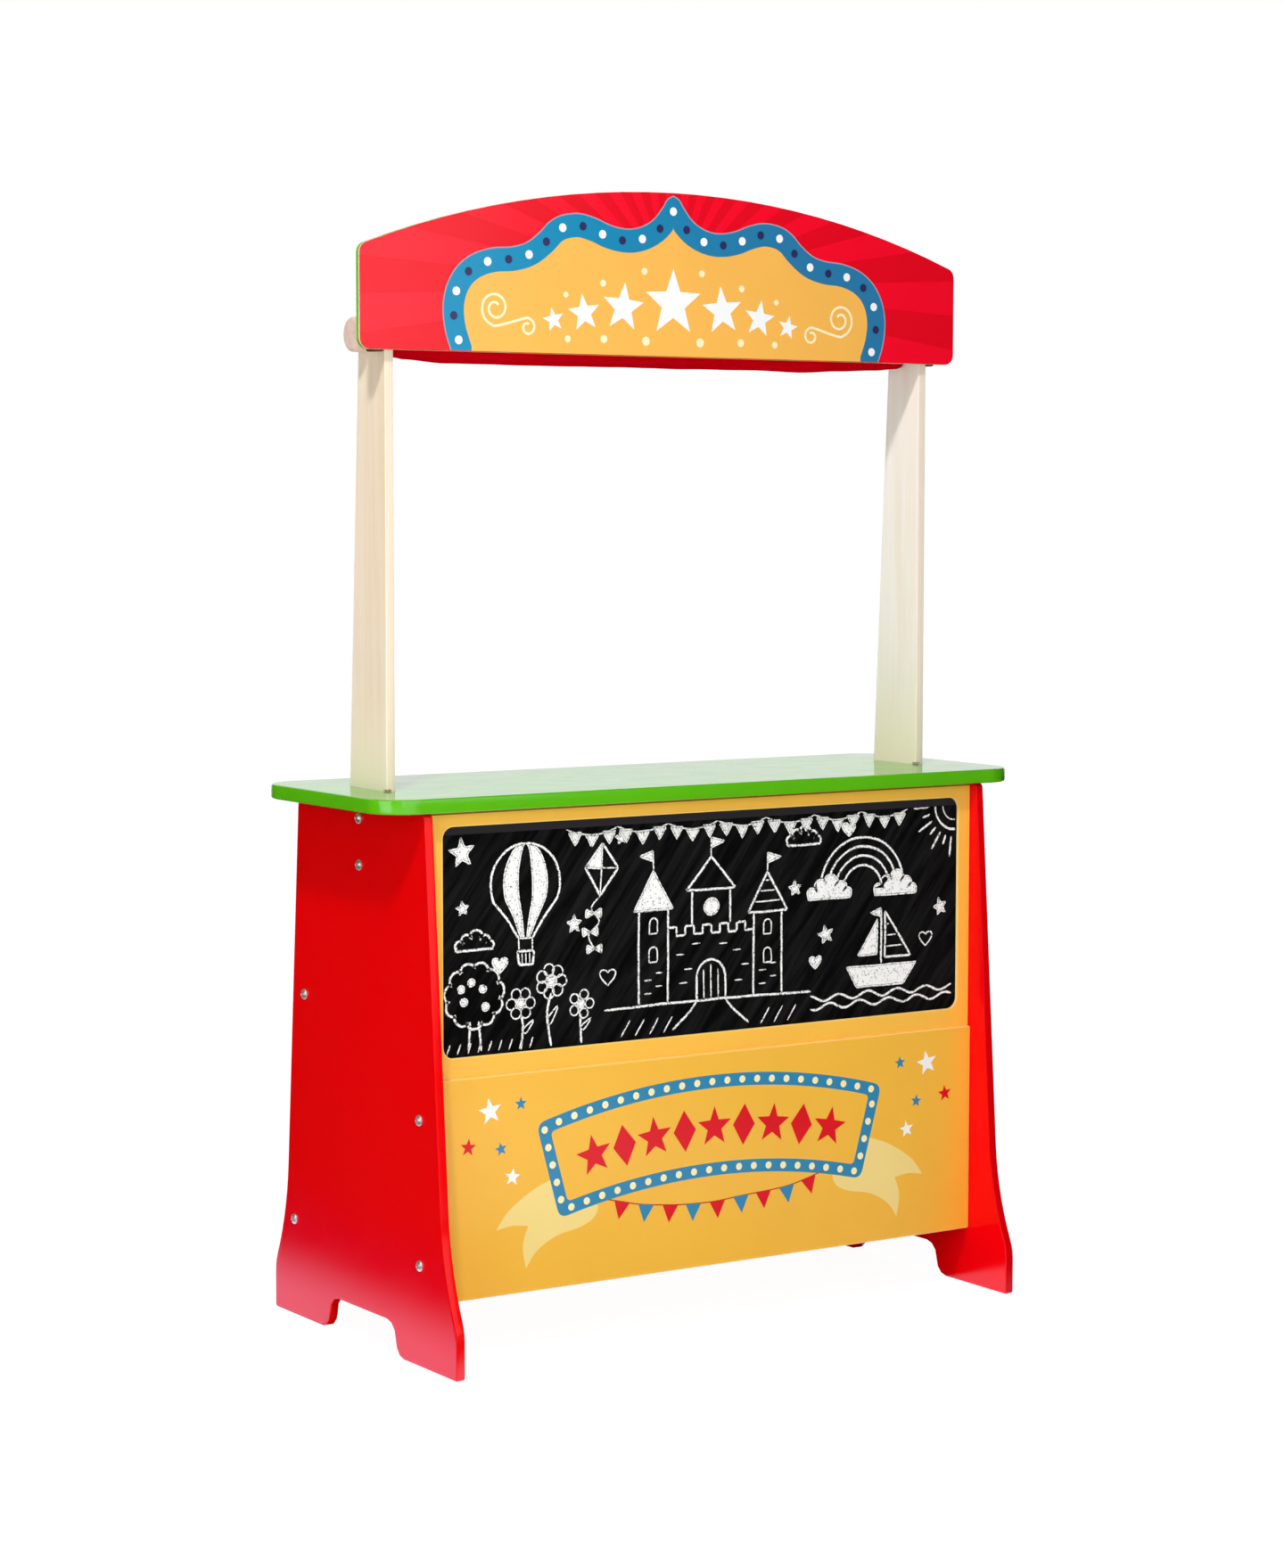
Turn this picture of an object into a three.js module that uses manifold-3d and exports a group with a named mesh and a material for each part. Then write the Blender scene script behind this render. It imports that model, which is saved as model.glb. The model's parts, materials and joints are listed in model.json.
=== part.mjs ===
// A free-standing puppet theatre for children: two red side panels carry a green counter, a yellow
// front with a chalkboard, two shelves behind it, and two uprights with a sign board and a curtain roller.
// Lengths are in millimetres. +X is to the viewer's right, -Y faces the audience and +Z is up.
// The origin is on the floor, in the middle of the stand.

import * as THREE from 'three';
import { mergeVertices } from 'three/addons/utils/BufferGeometryUtils.js';
import Module from 'manifold-3d';

// Clearances and cutters
const SEAT_GAP = 0.3;
const OVERRUN = 4;
const SAME_POINT = 0.03;

// Counts of sides and segments
const BAR_SIDES = 12;
const ROD_SIDES = 24;
const HEX_SIDES = 6;
const EDGE_STEPS = 2;
const CORNER_STEPS = 10;
const SMALL_CORNER_STEPS = 3;
const ARCH_STEPS = 24;
const FLARE_STEPS = 7;
const NOTCH_STEPS = 3;
const SHOULDER_STEPS = 3;

// Side panels
const STAND_WIDTH = 700;
const SIDE_T = 10;
const SIDE_EDGE_R = 1.6;
const SIDE_TOP_DEPTH = 266.6;
const SIDE_TOP_R = 5;
const FOOT_DEPTH = 386;
const FOOT_FLARE = 19.31;
const FOOT_SIDE_H = 38;
const FOOT_SHOULDER_R = 48;
const FOOT_SHOULDER_DEG = 25;
const FOOT_BASE_R = 3;
const NOTCH_DEPTH = 139.2;
const NOTCH_H = 34.8;

// Counter
const COUNTER_Z = 569.3;
const COUNTER_T = 15;
const COUNTER_SIDE_OVERHANG = 46.3;
const COUNTER_FRONT_OVERHANG = 5.7;
const COUNTER_CORNER_R = 40;
const COUNTER_EDGE_R = 2;
const SLOT_END_PLAY = 3;
const SLOT_CORNER_R = 2;

// Uprights
const UPRIGHT_T = 10;
const UPRIGHT_FRONT = 39.2;
const UPRIGHT_DEPTH = 77.7;
const UPRIGHT_TOP_DEPTH = 51.4;
const UPRIGHT_RISE = 516;
const UPRIGHT_TAIL = 90;
const UPRIGHT_EDGE_R = 1.2;
const UPRIGHT_CORNER_R = 6;
const UPRIGHT_RELIEF_W = 5.5;
const UPRIGHT_RELIEF_DEPTH = 6.5;
const UPRIGHT_RELIEF_H = 2;

// Sign board of two layers on the uprights' front edges
const SIGN_SIDE_OVERHANG = 32.1;
const SIGN_BOTTOM_DROP = 75.1;
const SIGN_END_H = 102.2;
const SIGN_ARCH_RISE = 67.9;
const SIGN_CORNER_R = 11;
const SIGN_FACE_T = 3;
const SIGN_BACKING_T = 4.2;
const SIGN_EDGE_R = 0.9;

// Brackets that hold the sign to the uprights
const BRACKET_T = 11;
const BRACKET_KNOB_GAP = 3.2;
const BRACKET_H = 74;
const BRACKET_DROP = 1.7;
const BRACKET_EDGE_R = 1;
const BRACKET_CORNER_R = 2;
const BRACKET_SCREW_INSET = 10;
const BRACKET_SCREW_SPACING = 10;
const SCREW_R = 1.9;
const SCREW_HEAD_R = 3.8;
const SCREW_HEAD_H = 2.2;
const SCREW_SLOT_W = 1.1;
const SCREW_SLOT_DEEP = 1.2;
const SCREW_BITE_SHARE = 0.6;

// Curtain roller
const ROLLER_DROP = 58.8;
const CURTAIN_ROD_R = 6.35;
const KNOB_R = 17.5;
const KNOB_L = 16.4;
const KNOB_ROUND_R = 4;
const KNOB_EDGE_R = 1.5;
const KNOB_BORE_L = 12;
const KNOB_PLAY = 0.6;
const ROLL_R = 28.4;
const ROLL_END_R = 24.4;
const ROLL_TIP_R = 21.5;
const ROLL_TAPER_L = 110;
const ROLL_TIP_L = 9;
const ROLL_END_PLAY = 1.5;
const CLOTH_HEM_T = 1.8;
const HEM_DEG = 205;
const HEM_STEP_DEG = 2;
const ROLL_SIDES = 30;
const ROLL_TAPER_STEPS = 4;

// Upper front panel, a frame round the chalkboard
const FRONT_T = 12;
const UPPER_FRONT_INSET = 9.9;
const FRONT_SPLIT_Z = 287;
const FRONT_EDGE_R = 1.2;
const FRONT_CORNER_R = 2;
const WINDOW_STILE = 16;
const WINDOW_SILL = 20.2;
const WINDOW_HEAD = 15;
const WINDOW_R = 12;
const WINDOW_LIP_T = 3;
const REBATE_MARGIN = 5;
const CHALKBOARD_T = 5;
const CHALKBOARD_EDGE_R = 0.3;
const CHALKBOARD_CORNER_R = 1;

// Lower front panel
const LOWER_FRONT_PROUD = 4;
const LOWER_FRONT_Z = 62;

// Shelves
const SHELF_T = 12;
const SHELF_EDGE_R = 1.2;
const SHELF_CORNER_R = 2;
const MIDDLE_SHELF_MID_Z = 345.7;
const BOTTOM_SHELF_MID_Z = 102.7;
const SHELF_REAR_INSET = 13;
const MIDDLE_BOLT_INSET = 27.9;
const BOTTOM_BOLT_INSET = 25.4;
const SHELF_DOWEL_INSET = 31;

// Bolts with round heads, barrel nuts and cap nuts
const BOLT_R = 3;
const BOLT_HEAD_R = 5.6;
const BOLT_HEAD_H = 3.3;
const BOLT_HEAD_RIM_H = 0.8;
const HEX_SOCKET_R = 2.4;
const HEX_SOCKET_DEEP = 2.1;
const HEAD_STEPS = 4;
const BARREL_NUT_R = 5;
const BARREL_NUT_L = 9;
const BARREL_SETBACK = 25;
const BOLT_PAST_NUT = 2;
const CAP_NUT_R = 5.77;
const CAP_NUT_BASE_H = 5;
const CAP_NUT_DOME_H = 5;
const CAP_NUT_BITE = 5.5;
const UPRIGHT_BOLT_UPPER_DROP = 14.3;
const UPRIGHT_BOLT_LOWER_DROP = 61.8;
const FRONT_BOLT_TOP_INSET = 38.3;
const FRONT_BOLT_BOTTOM_INSET = 40.4;

// Dowels
const DOWEL_R = 3;
const DOWEL_SIDE_BITE = 6.5;
const DOWEL_BOARD_BITE = 18;
const DOWEL_COUNTER_BITE = 9;
const COUNTER_DOWEL_INSET = 41.3;

// Places worked out from the sizes above
const sideOuterX = STAND_WIDTH / 2;
const sideInnerX = sideOuterX - SIDE_T;
const counterUnderZ = COUNTER_Z - COUNTER_T;
const sideTopZ = counterUnderZ - SEAT_GAP;
const sideMidX = sideOuterX - SIDE_T / 2;
const boardHalfX = sideInnerX - SEAT_GAP;
const uprightOuterX = sideInnerX - SEAT_GAP;
const uprightInnerX = uprightOuterX - UPRIGHT_T;
const uprightTopZ = COUNTER_Z + UPRIGHT_RISE;
const signBackY = -UPRIGHT_FRONT - SEAT_GAP;
const signFaceBackY = signBackY - SIGN_BACKING_T - SEAT_GAP;
const signBottomZ = uprightTopZ - SIGN_BOTTOM_DROP;
const rollerZ = uprightTopZ - ROLLER_DROP;
const upperFrontFaceY = UPPER_FRONT_INSET - SIDE_TOP_DEPTH / 2;
const upperFrontBackY = upperFrontFaceY + FRONT_T;
const upperFrontMidY = upperFrontBackY - FRONT_T / 2;
const upperFrontBottomZ = FRONT_SPLIT_Z + SEAT_GAP;
const windowBottomZ = upperFrontBottomZ + WINDOW_SILL;
const windowTopZ = sideTopZ - WINDOW_HEAD;
const windowHalfX = boardHalfX - WINDOW_STILE;
const lowerFrontBackY = upperFrontBackY - LOWER_FRONT_PROUD;
const lowerFrontMidY = lowerFrontBackY - FRONT_T / 2;
const bracketInnerX = uprightOuterX + SEAT_GAP;
const bracketMidX = bracketInnerX + BRACKET_T / 2;
const bracketDepth = UPRIGHT_FRONT - KNOB_R - BRACKET_KNOB_GAP;
const uprightScrewUp = BRACKET_H - BRACKET_SCREW_INSET;
const signScrewUp = uprightScrewUp - BRACKET_SCREW_SPACING;
const bracketFrontY = signBackY + SEAT_GAP;
const bracketMidY = bracketFrontY + bracketDepth / 2;
const bracketBottomZ = signBottomZ - BRACKET_DROP;

// Materials
const paint = (color, roughness) => new THREE.MeshStandardMaterial({ color, roughness, metalness: 0 });
const metal = (color, roughness) => new THREE.MeshStandardMaterial({ color, roughness, metalness: 1 });
const redPaint = paint(0xd7000f, 0.35);
const greenPaint = paint(0x57b31e, 0.25);
const yellowPaint = paint(0xf2b445, 0.4);
const chalkBlack = paint(0x101012, 0.8);
const paleWood = paint(0xe6d3ad, 0.6);
const shelfWood = paint(0xdcc49a, 0.6);
const signRed = paint(0xee2233, 0.35);
const signGreen = paint(0x6fa02c, 0.45);
const bracketBrown = paint(0x5b4124, 0.5);
const clothRed = paint(0xa00010, 0.95);
const dowelWood = paint(0xd8b985, 0.7);
const steel = metal(0xb9b9bb, 0.3);

// Solids: merging a geometry, and joining and cutting it
const wasm = await Module();
wasm.setup();

function solidOf(geometry) {
  const bare = geometry.clone();
  bare.deleteAttribute('normal');
  bare.deleteAttribute('uv');
  const merged = mergeVertices(bare);
  const vertProperties = new Float32Array(merged.attributes.position.array);
  const triVerts = new Uint32Array(merged.index.array);
  return new wasm.Manifold(new wasm.Mesh({ numProp: 3, vertProperties, triVerts }));
}

function geometryOf(solid) {
  const mesh = solid.getMesh();
  const geometry = new THREE.BufferGeometry();
  geometry.setAttribute('position', new THREE.BufferAttribute(mesh.vertProperties, 3));
  geometry.setIndex(new THREE.BufferAttribute(mesh.triVerts, 1));
  geometry.computeVertexNormals();
  return geometry;
}

function cut(geometry, cutters) {
  let solid = solidOf(geometry);
  for (const cutter of cutters) {
    solid = solid.subtract(solidOf(cutter));
  }
  return geometryOf(solid);
}

// A round bar along an axis, from one coordinate to another, through a point of its axis
function bar(axis, radius, from, to, at, sides = BAR_SIDES) {
  const low = Math.min(from, to);
  const high = Math.max(from, to);
  const geometry = new THREE.CylinderGeometry(radius, radius, high - low, sides);
  if (axis === 'x') geometry.rotateZ(-Math.PI / 2);
  if (axis === 'z') geometry.rotateX(Math.PI / 2);
  const centre = new THREE.Vector3(at.x ?? 0, at.y ?? 0, at.z ?? 0);
  centre[axis] = (low + high) / 2;
  return geometry.translate(centre.x, centre.y, centre.z);
}

// The quarter turns and other arcs of an outline, as points from one angle to another
function arc(outline, centreX, centreY, radius, fromDeg, toDeg, steps) {
  for (let i = 0; i <= steps; i += 1) {
    const angle = THREE.MathUtils.degToRad(fromDeg + ((toDeg - fromDeg) * i) / steps);
    outline.push(new THREE.Vector2(centreX + radius * Math.cos(angle), centreY + radius * Math.sin(angle)));
  }
}

function roundedRectangle(left, right, bottom, top, radius, steps = SMALL_CORNER_STEPS) {
  const outline = [];
  arc(outline, right - radius, bottom + radius, radius, -90, 0, steps);
  arc(outline, right - radius, top - radius, radius, 0, 90, steps);
  arc(outline, left + radius, top - radius, radius, 90, 180, steps);
  arc(outline, left + radius, bottom + radius, radius, 180, 270, steps);
  return outline;
}

// A board of an outline and a thickness, with its edges rounded, standing on local Z from 0
function board(outline, thickness, edgeRadius, holes = []) {
  const shape = new THREE.Shape(outline);
  shape.holes = holes.map((hole) => new THREE.Path(hole));
  const geometry = new THREE.ExtrudeGeometry(shape, {
    depth: thickness - 2 * edgeRadius,
    bevelThickness: edgeRadius,
    bevelSize: edgeRadius,
    bevelOffset: -edgeRadius,
    bevelSegments: EDGE_STEPS,
    curveSegments: 1,
  });
  return geometry.translate(0, 0, edgeRadius);
}

// Turns an outline of depth and height so that its thickness runs along +X
function facingSideways(geometry) {
  const turn = new THREE.Matrix4().makeBasis(
    new THREE.Vector3(0, 1, 0),
    new THREE.Vector3(0, 0, 1),
    new THREE.Vector3(1, 0, 0),
  );
  return geometry.applyMatrix4(turn);
}

// Turns an outline of width and height so that its thickness runs along -Y
function facingForward(geometry) {
  return geometry.rotateX(Math.PI / 2);
}

// The side panel's outline: half its depth at a height, along the straight leaning edge and the flare
const leanTan = ((FOOT_DEPTH - SIDE_TOP_DEPTH) / 2 - FOOT_FLARE) / sideTopZ;
const leanDeg = THREE.MathUtils.radToDeg(Math.atan(leanTan));
const leanCos = Math.cos(THREE.MathUtils.degToRad(leanDeg));
const leanSin = Math.sin(THREE.MathUtils.degToRad(leanDeg));
const turnCos = Math.cos(THREE.MathUtils.degToRad(FOOT_SHOULDER_DEG));
const turnSin = Math.sin(THREE.MathUtils.degToRad(FOOT_SHOULDER_DEG));
const shoulderEndZ = FOOT_SIDE_H + FOOT_SHOULDER_R * turnSin;
const shoulderEndHalf = FOOT_DEPTH / 2 - FOOT_SHOULDER_R * (1 - turnCos);
const straightHalfAt = (z) => SIDE_TOP_DEPTH / 2 + (sideTopZ - z) * leanTan;
const flareRadius = (shoulderEndHalf - straightHalfAt(shoulderEndZ))
  / (leanCos - turnCos - (turnSin - leanSin) * leanTan);
const flareEndZ = shoulderEndZ + flareRadius * (turnSin - leanSin);

function sideHalfDepthAt(z) {
  if (z >= flareEndZ) return straightHalfAt(z);
  const flareCentreZ = shoulderEndZ + flareRadius * turnSin;
  const flareCentreHalf = shoulderEndHalf + flareRadius * turnCos;
  return flareCentreHalf - Math.sqrt(flareRadius ** 2 - (flareCentreZ - z) ** 2);
}

function sidePanelOutline() {
  const half = FOOT_DEPTH / 2;
  const rear = [];
  const footR = NOTCH_H / 2;
  arc(rear, NOTCH_DEPTH / 2 - footR, footR, footR, 90, 0, NOTCH_STEPS);
  arc(rear, NOTCH_DEPTH / 2 + footR, footR, footR, 180, 270, NOTCH_STEPS);
  arc(rear, half - FOOT_BASE_R, FOOT_BASE_R, FOOT_BASE_R, -90, 0, SMALL_CORNER_STEPS);
  arc(rear, half - FOOT_SHOULDER_R, FOOT_SIDE_H, FOOT_SHOULDER_R, 0, FOOT_SHOULDER_DEG, SHOULDER_STEPS);
  const flareX = shoulderEndHalf + flareRadius * turnCos;
  const flareZ = shoulderEndZ + flareRadius * turnSin;
  arc(rear, flareX, flareZ, flareRadius, 180 + FOOT_SHOULDER_DEG, 180 + leanDeg, FLARE_STEPS);
  const topHalf = straightHalfAt(sideTopZ);
  arc(rear, topHalf - SIDE_TOP_R, sideTopZ - SIDE_TOP_R, SIDE_TOP_R, leanDeg, 90, SMALL_CORNER_STEPS);
  const front = rear.map((point) => new THREE.Vector2(-point.x, point.y)).reverse();
  return removeRepeats([...rear, ...front]);
}

// Drops points that fall on the one before them, where an arc starts at the last one's end
function removeRepeats(outline) {
  const kept = outline.filter((point, i) => {
    const before = outline[(i + outline.length - 1) % outline.length];
    return point.distanceTo(before) > SAME_POINT;
  });
  return kept;
}

// Every fixing that goes through a side panel: a bolt, and the nut that it draws against
const middleBoltY = sideHalfDepthAt(MIDDLE_SHELF_MID_Z) - MIDDLE_BOLT_INSET;
const bottomBoltY = sideHalfDepthAt(BOTTOM_SHELF_MID_Z) - BOTTOM_BOLT_INSET;
const sideBolts = [
  { name: 'upright_bolt_upper', nut: 'upright_cap_nut_upper', kind: 'upright',
    y: 0, z: counterUnderZ - UPRIGHT_BOLT_UPPER_DROP },
  { name: 'upright_bolt_lower', nut: 'upright_cap_nut_lower', kind: 'upright',
    y: 0, z: counterUnderZ - UPRIGHT_BOLT_LOWER_DROP },
  { name: 'middle_shelf_bolt', nut: 'middle_shelf_barrel_nut', kind: 'shelf',
    y: middleBoltY, z: MIDDLE_SHELF_MID_Z },
  { name: 'bottom_shelf_bolt', nut: 'bottom_shelf_barrel_nut', kind: 'shelf',
    y: bottomBoltY, z: BOTTOM_SHELF_MID_Z },
  { name: 'front_bolt_upper', nut: 'front_barrel_nut_upper', kind: 'front',
    y: lowerFrontMidY, z: FRONT_SPLIT_Z - FRONT_BOLT_TOP_INSET },
  { name: 'front_bolt_lower', nut: 'front_barrel_nut_lower', kind: 'front',
    y: lowerFrontMidY, z: LOWER_FRONT_Z + FRONT_BOLT_BOTTOM_INSET },
];

// Dowels between a side panel and a board's end
const upperRailZ = (windowTopZ + REBATE_MARGIN + sideTopZ) / 2;
const lowerRailZ = (upperFrontBottomZ + windowBottomZ - REBATE_MARGIN) / 2;
const sideDowels = [
  { name: 'front_frame_dowel_upper', y: upperFrontMidY, z: upperRailZ },
  { name: 'front_frame_dowel_lower', y: upperFrontMidY, z: lowerRailZ },
  { name: 'middle_shelf_dowel', y: upperFrontBackY + SHELF_DOWEL_INSET, z: MIDDLE_SHELF_MID_Z },
  { name: 'bottom_shelf_dowel', y: lowerFrontBackY + SHELF_DOWEL_INSET, z: BOTTOM_SHELF_MID_Z },
];
const counterDowelY = SIDE_TOP_DEPTH / 2 - COUNTER_DOWEL_INSET;
const counterDowels = [
  { name: 'counter_dowel_front', y: -counterDowelY },
  { name: 'counter_dowel_rear', y: counterDowelY },
];
const boltHoleR = BOLT_R + SEAT_GAP;
const dowelHoleR = DOWEL_R + SEAT_GAP;
const sides = [{ side: 'left', sign: -1 }, { side: 'right', sign: 1 }];

// Cutters that both ends of a board share, for the boards that bolts and dowels enter endwise
function endBores(fixings, radius, depth) {
  return sides.flatMap(({ sign }) => fixings.map(({ y, z }) => (
    bar('x', radius, sign * (boardHalfX + OVERRUN), sign * (boardHalfX - depth), { y, z }))));
}

const barrelX = boardHalfX - BARREL_SETBACK;
const boltBoreDepth = BARREL_SETBACK + BARREL_NUT_R + BOLT_PAST_NUT + SEAT_GAP;
const barrelPocketDepth = BARREL_NUT_L / 2 + SEAT_GAP;
const named = (list, prefix) => list.filter(({ name }) => name.startsWith(prefix));

function mesh(name, geometry, material, x = 0, y = 0, z = 0) {
  const piece = new THREE.Mesh(geometry, material);
  piece.name = name;
  piece.position.set(x, y, z);
  return piece;
}

// Side panels
function sidePanel(side, sign) {
  const plain = facingSideways(board(sidePanelOutline(), SIDE_T, SIDE_EDGE_R)).translate(-SIDE_T / 2, 0, 0);
  const reach = SIDE_T / 2 + OVERRUN;
  const innerX = -sign * (SIDE_T / 2);
  const boltHoles = sideBolts.map(({ y, z }) => bar('x', boltHoleR, -reach, reach, { y, z }));
  const sockets = sideDowels.map(({ y, z }) => (
    bar('x', dowelHoleR, innerX - sign * OVERRUN, innerX + sign * (DOWEL_SIDE_BITE + SEAT_GAP), { y, z })));
  const topSockets = counterDowels.map(({ y }) => (
    bar('z', dowelHoleR, sideTopZ - DOWEL_BOARD_BITE - SEAT_GAP, sideTopZ + OVERRUN, { y })));
  const geometry = cut(plain, [...boltHoles, ...sockets, ...topSockets]);
  return mesh(`side_panel_${side}`, geometry, redPaint, sign * sideMidX);
}

// Counter top, with the slots that the uprights pass through
function counterTop() {
  const rear = SIDE_TOP_DEPTH / 2;
  const front = -rear - COUNTER_FRONT_OVERHANG;
  const half = sideOuterX + COUNTER_SIDE_OVERHANG;
  const outline = roundedRectangle(-half, half, front, rear, COUNTER_CORNER_R, CORNER_STEPS);
  const slotFront = -UPRIGHT_FRONT - SLOT_END_PLAY;
  const slotRear = UPRIGHT_DEPTH - UPRIGHT_FRONT + SLOT_END_PLAY;
  const slots = sides.map(({ sign }) => {
    const inner = sign * (uprightInnerX - SEAT_GAP);
    const outer = sign * (uprightOuterX + SEAT_GAP);
    const left = Math.min(inner, outer);
    const right = Math.max(inner, outer);
    return roundedRectangle(left, right, slotFront, slotRear, SLOT_CORNER_R).reverse();
  });
  const plain = board(outline, COUNTER_T, COUNTER_EDGE_R);
  const slotCutters = slots.map((slot) => {
    const shape = new THREE.Shape(slot);
    const depth = COUNTER_T + 2 * OVERRUN;
    return new THREE.ExtrudeGeometry(shape, { depth, bevelEnabled: false, curveSegments: 1 })
      .translate(0, 0, -OVERRUN);
  });
  const sockets = sides.flatMap(({ sign }) => counterDowels.map(({ y }) => (
    bar('z', dowelHoleR, -OVERRUN, DOWEL_COUNTER_BITE + SEAT_GAP, { x: sign * sideMidX, y }))));
  const geometry = cut(plain, [...slotCutters, ...sockets]);
  return mesh('counter_top', geometry, greenPaint, 0, 0, counterUnderZ);
}

// Uprights, which narrow above the counter and carry the curtain rod. One front corner of each is cut
// back where it enters the counter's slot, on the same side of both.
function upright(side, sign) {
  const rear = UPRIGHT_DEPTH - UPRIGHT_FRONT;
  const topRear = UPRIGHT_TOP_DEPTH - UPRIGHT_FRONT;
  const bottomZ = counterUnderZ - UPRIGHT_TAIL;
  const r = UPRIGHT_CORNER_R;
  const rearLeanDeg = THREE.MathUtils.radToDeg(Math.atan((rear - topRear) / UPRIGHT_RISE));
  const outline = [];
  arc(outline, rear - r, bottomZ + r, r, -90, 0, SMALL_CORNER_STEPS);
  outline.push(new THREE.Vector2(rear, COUNTER_Z));
  arc(outline, topRear - r, uprightTopZ - r, r, rearLeanDeg, 90, SMALL_CORNER_STEPS);
  arc(outline, r - UPRIGHT_FRONT, uprightTopZ - r, r, 90, 180, SMALL_CORNER_STEPS);
  arc(outline, r - UPRIGHT_FRONT, bottomZ + r, r, 180, 270, SMALL_CORNER_STEPS);
  const plain = facingSideways(board(outline, UPRIGHT_T, UPRIGHT_EDGE_R)).translate(-UPRIGHT_T / 2, 0, 0);
  const reach = UPRIGHT_T / 2 + OVERRUN;
  const bolts = named(sideBolts, 'upright');
  const boltHoles = bolts.map(({ y, z }) => bar('x', boltHoleR, -reach, reach, { y, z }));
  const rodHole = bar('x', CURTAIN_ROD_R + SEAT_GAP, -reach, reach, { z: rollerZ }, ROD_SIDES);
  const screwTipX = UPRIGHT_T / 2 - UPRIGHT_T * SCREW_BITE_SHARE - SEAT_GAP;
  const screwPlace = { y: bracketMidY, z: bracketBottomZ + uprightScrewUp };
  const screwHole = bar('x', SCREW_R + SEAT_GAP, sign * reach, sign * screwTipX, screwPlace);
  const reliefH = COUNTER_T + UPRIGHT_RELIEF_H;
  const relief = new THREE.BoxGeometry(UPRIGHT_RELIEF_W + OVERRUN, UPRIGHT_RELIEF_DEPTH + OVERRUN, reliefH)
    .translate(
      (UPRIGHT_RELIEF_W - OVERRUN - UPRIGHT_T) / 2,
      (UPRIGHT_RELIEF_DEPTH - OVERRUN) / 2 - UPRIGHT_FRONT,
      counterUnderZ + reliefH / 2);
  const geometry = cut(plain, [...boltHoles, rodHole, screwHole, relief]);
  return mesh(`upright_${side}`, geometry, paleWood, sign * (uprightOuterX - UPRIGHT_T / 2));
}

// Lower and upper front panels
function lowerFrontPanel() {
  const outline = roundedRectangle(-boardHalfX, boardHalfX, LOWER_FRONT_Z, FRONT_SPLIT_Z, FRONT_CORNER_R);
  const plain = facingForward(board(outline, FRONT_T, FRONT_EDGE_R)).translate(0, lowerFrontBackY, 0);
  const bolts = named(sideBolts, 'front');
  const pockets = sides.flatMap(({ sign }) => bolts.map(({ z }) => (
    bar('y', BARREL_NUT_R + SEAT_GAP, lowerFrontBackY + OVERRUN, lowerFrontMidY - barrelPocketDepth,
      { x: sign * barrelX, z }))));
  const geometry = cut(plain, [...endBores(bolts, boltHoleR, boltBoreDepth), ...pockets]);
  return mesh('lower_front_panel', geometry, yellowPaint);
}

function upperFrontPanel() {
  const outline = roundedRectangle(-boardHalfX, boardHalfX, upperFrontBottomZ, sideTopZ, FRONT_CORNER_R);
  const hole = roundedRectangle(
    -windowHalfX, windowHalfX, windowBottomZ, windowTopZ, WINDOW_R, CORNER_STEPS,
  );
  const plain = facingForward(board(outline, FRONT_T, FRONT_EDGE_R, [hole.reverse()]))
    .translate(0, upperFrontBackY, 0);
  const rebateFrontY = upperFrontFaceY + WINDOW_LIP_T;
  const rebateRearY = upperFrontBackY + OVERRUN;
  const rebate = new THREE.BoxGeometry(
    2 * (windowHalfX + REBATE_MARGIN),
    rebateRearY - rebateFrontY,
    windowTopZ - windowBottomZ + 2 * REBATE_MARGIN,
  ).translate(0, (rebateFrontY + rebateRearY) / 2, (windowBottomZ + windowTopZ) / 2);
  const bores = endBores(named(sideDowels, 'front_frame'), dowelHoleR, DOWEL_BOARD_BITE + SEAT_GAP);
  const geometry = cut(plain, [rebate, ...bores]);
  return mesh('upper_front_panel', geometry, yellowPaint);
}

function chalkboard() {
  const half = windowHalfX + REBATE_MARGIN - SEAT_GAP;
  const low = windowBottomZ - REBATE_MARGIN + SEAT_GAP;
  const high = windowTopZ + REBATE_MARGIN - SEAT_GAP;
  const outline = roundedRectangle(-half, half, low, high, CHALKBOARD_CORNER_R);
  const faceY = upperFrontFaceY + WINDOW_LIP_T + SEAT_GAP;
  const geometry = facingForward(board(outline, CHALKBOARD_T, CHALKBOARD_EDGE_R));
  return mesh('chalkboard', geometry, chalkBlack, 0, faceY + CHALKBOARD_T);
}

// Shelves, each between the front panel and a line inside the side panels' rear edge
function shelf(name, boltPrefix, frontY, midZ) {
  const rearY = sideHalfDepthAt(midZ) - SHELF_REAR_INSET;
  const outline = roundedRectangle(-boardHalfX, boardHalfX, frontY + SEAT_GAP, rearY, SHELF_CORNER_R);
  const plain = board(outline, SHELF_T, SHELF_EDGE_R).translate(0, 0, midZ - SHELF_T / 2);
  const bolts = named(sideBolts, boltPrefix);
  const dowels = named(sideDowels, boltPrefix);
  const pockets = sides.flatMap(({ sign }) => bolts.map(({ y }) => (
    bar('z', BARREL_NUT_R + SEAT_GAP, midZ - SHELF_T / 2 - OVERRUN, midZ + barrelPocketDepth,
      { x: sign * barrelX, y }))));
  const boltBores = endBores(bolts, boltHoleR, boltBoreDepth);
  const dowelBores = endBores(dowels, dowelHoleR, DOWEL_BOARD_BITE + SEAT_GAP);
  return mesh(name, cut(plain, [...boltBores, ...dowelBores, ...pockets]), shelfWood);
}

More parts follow.
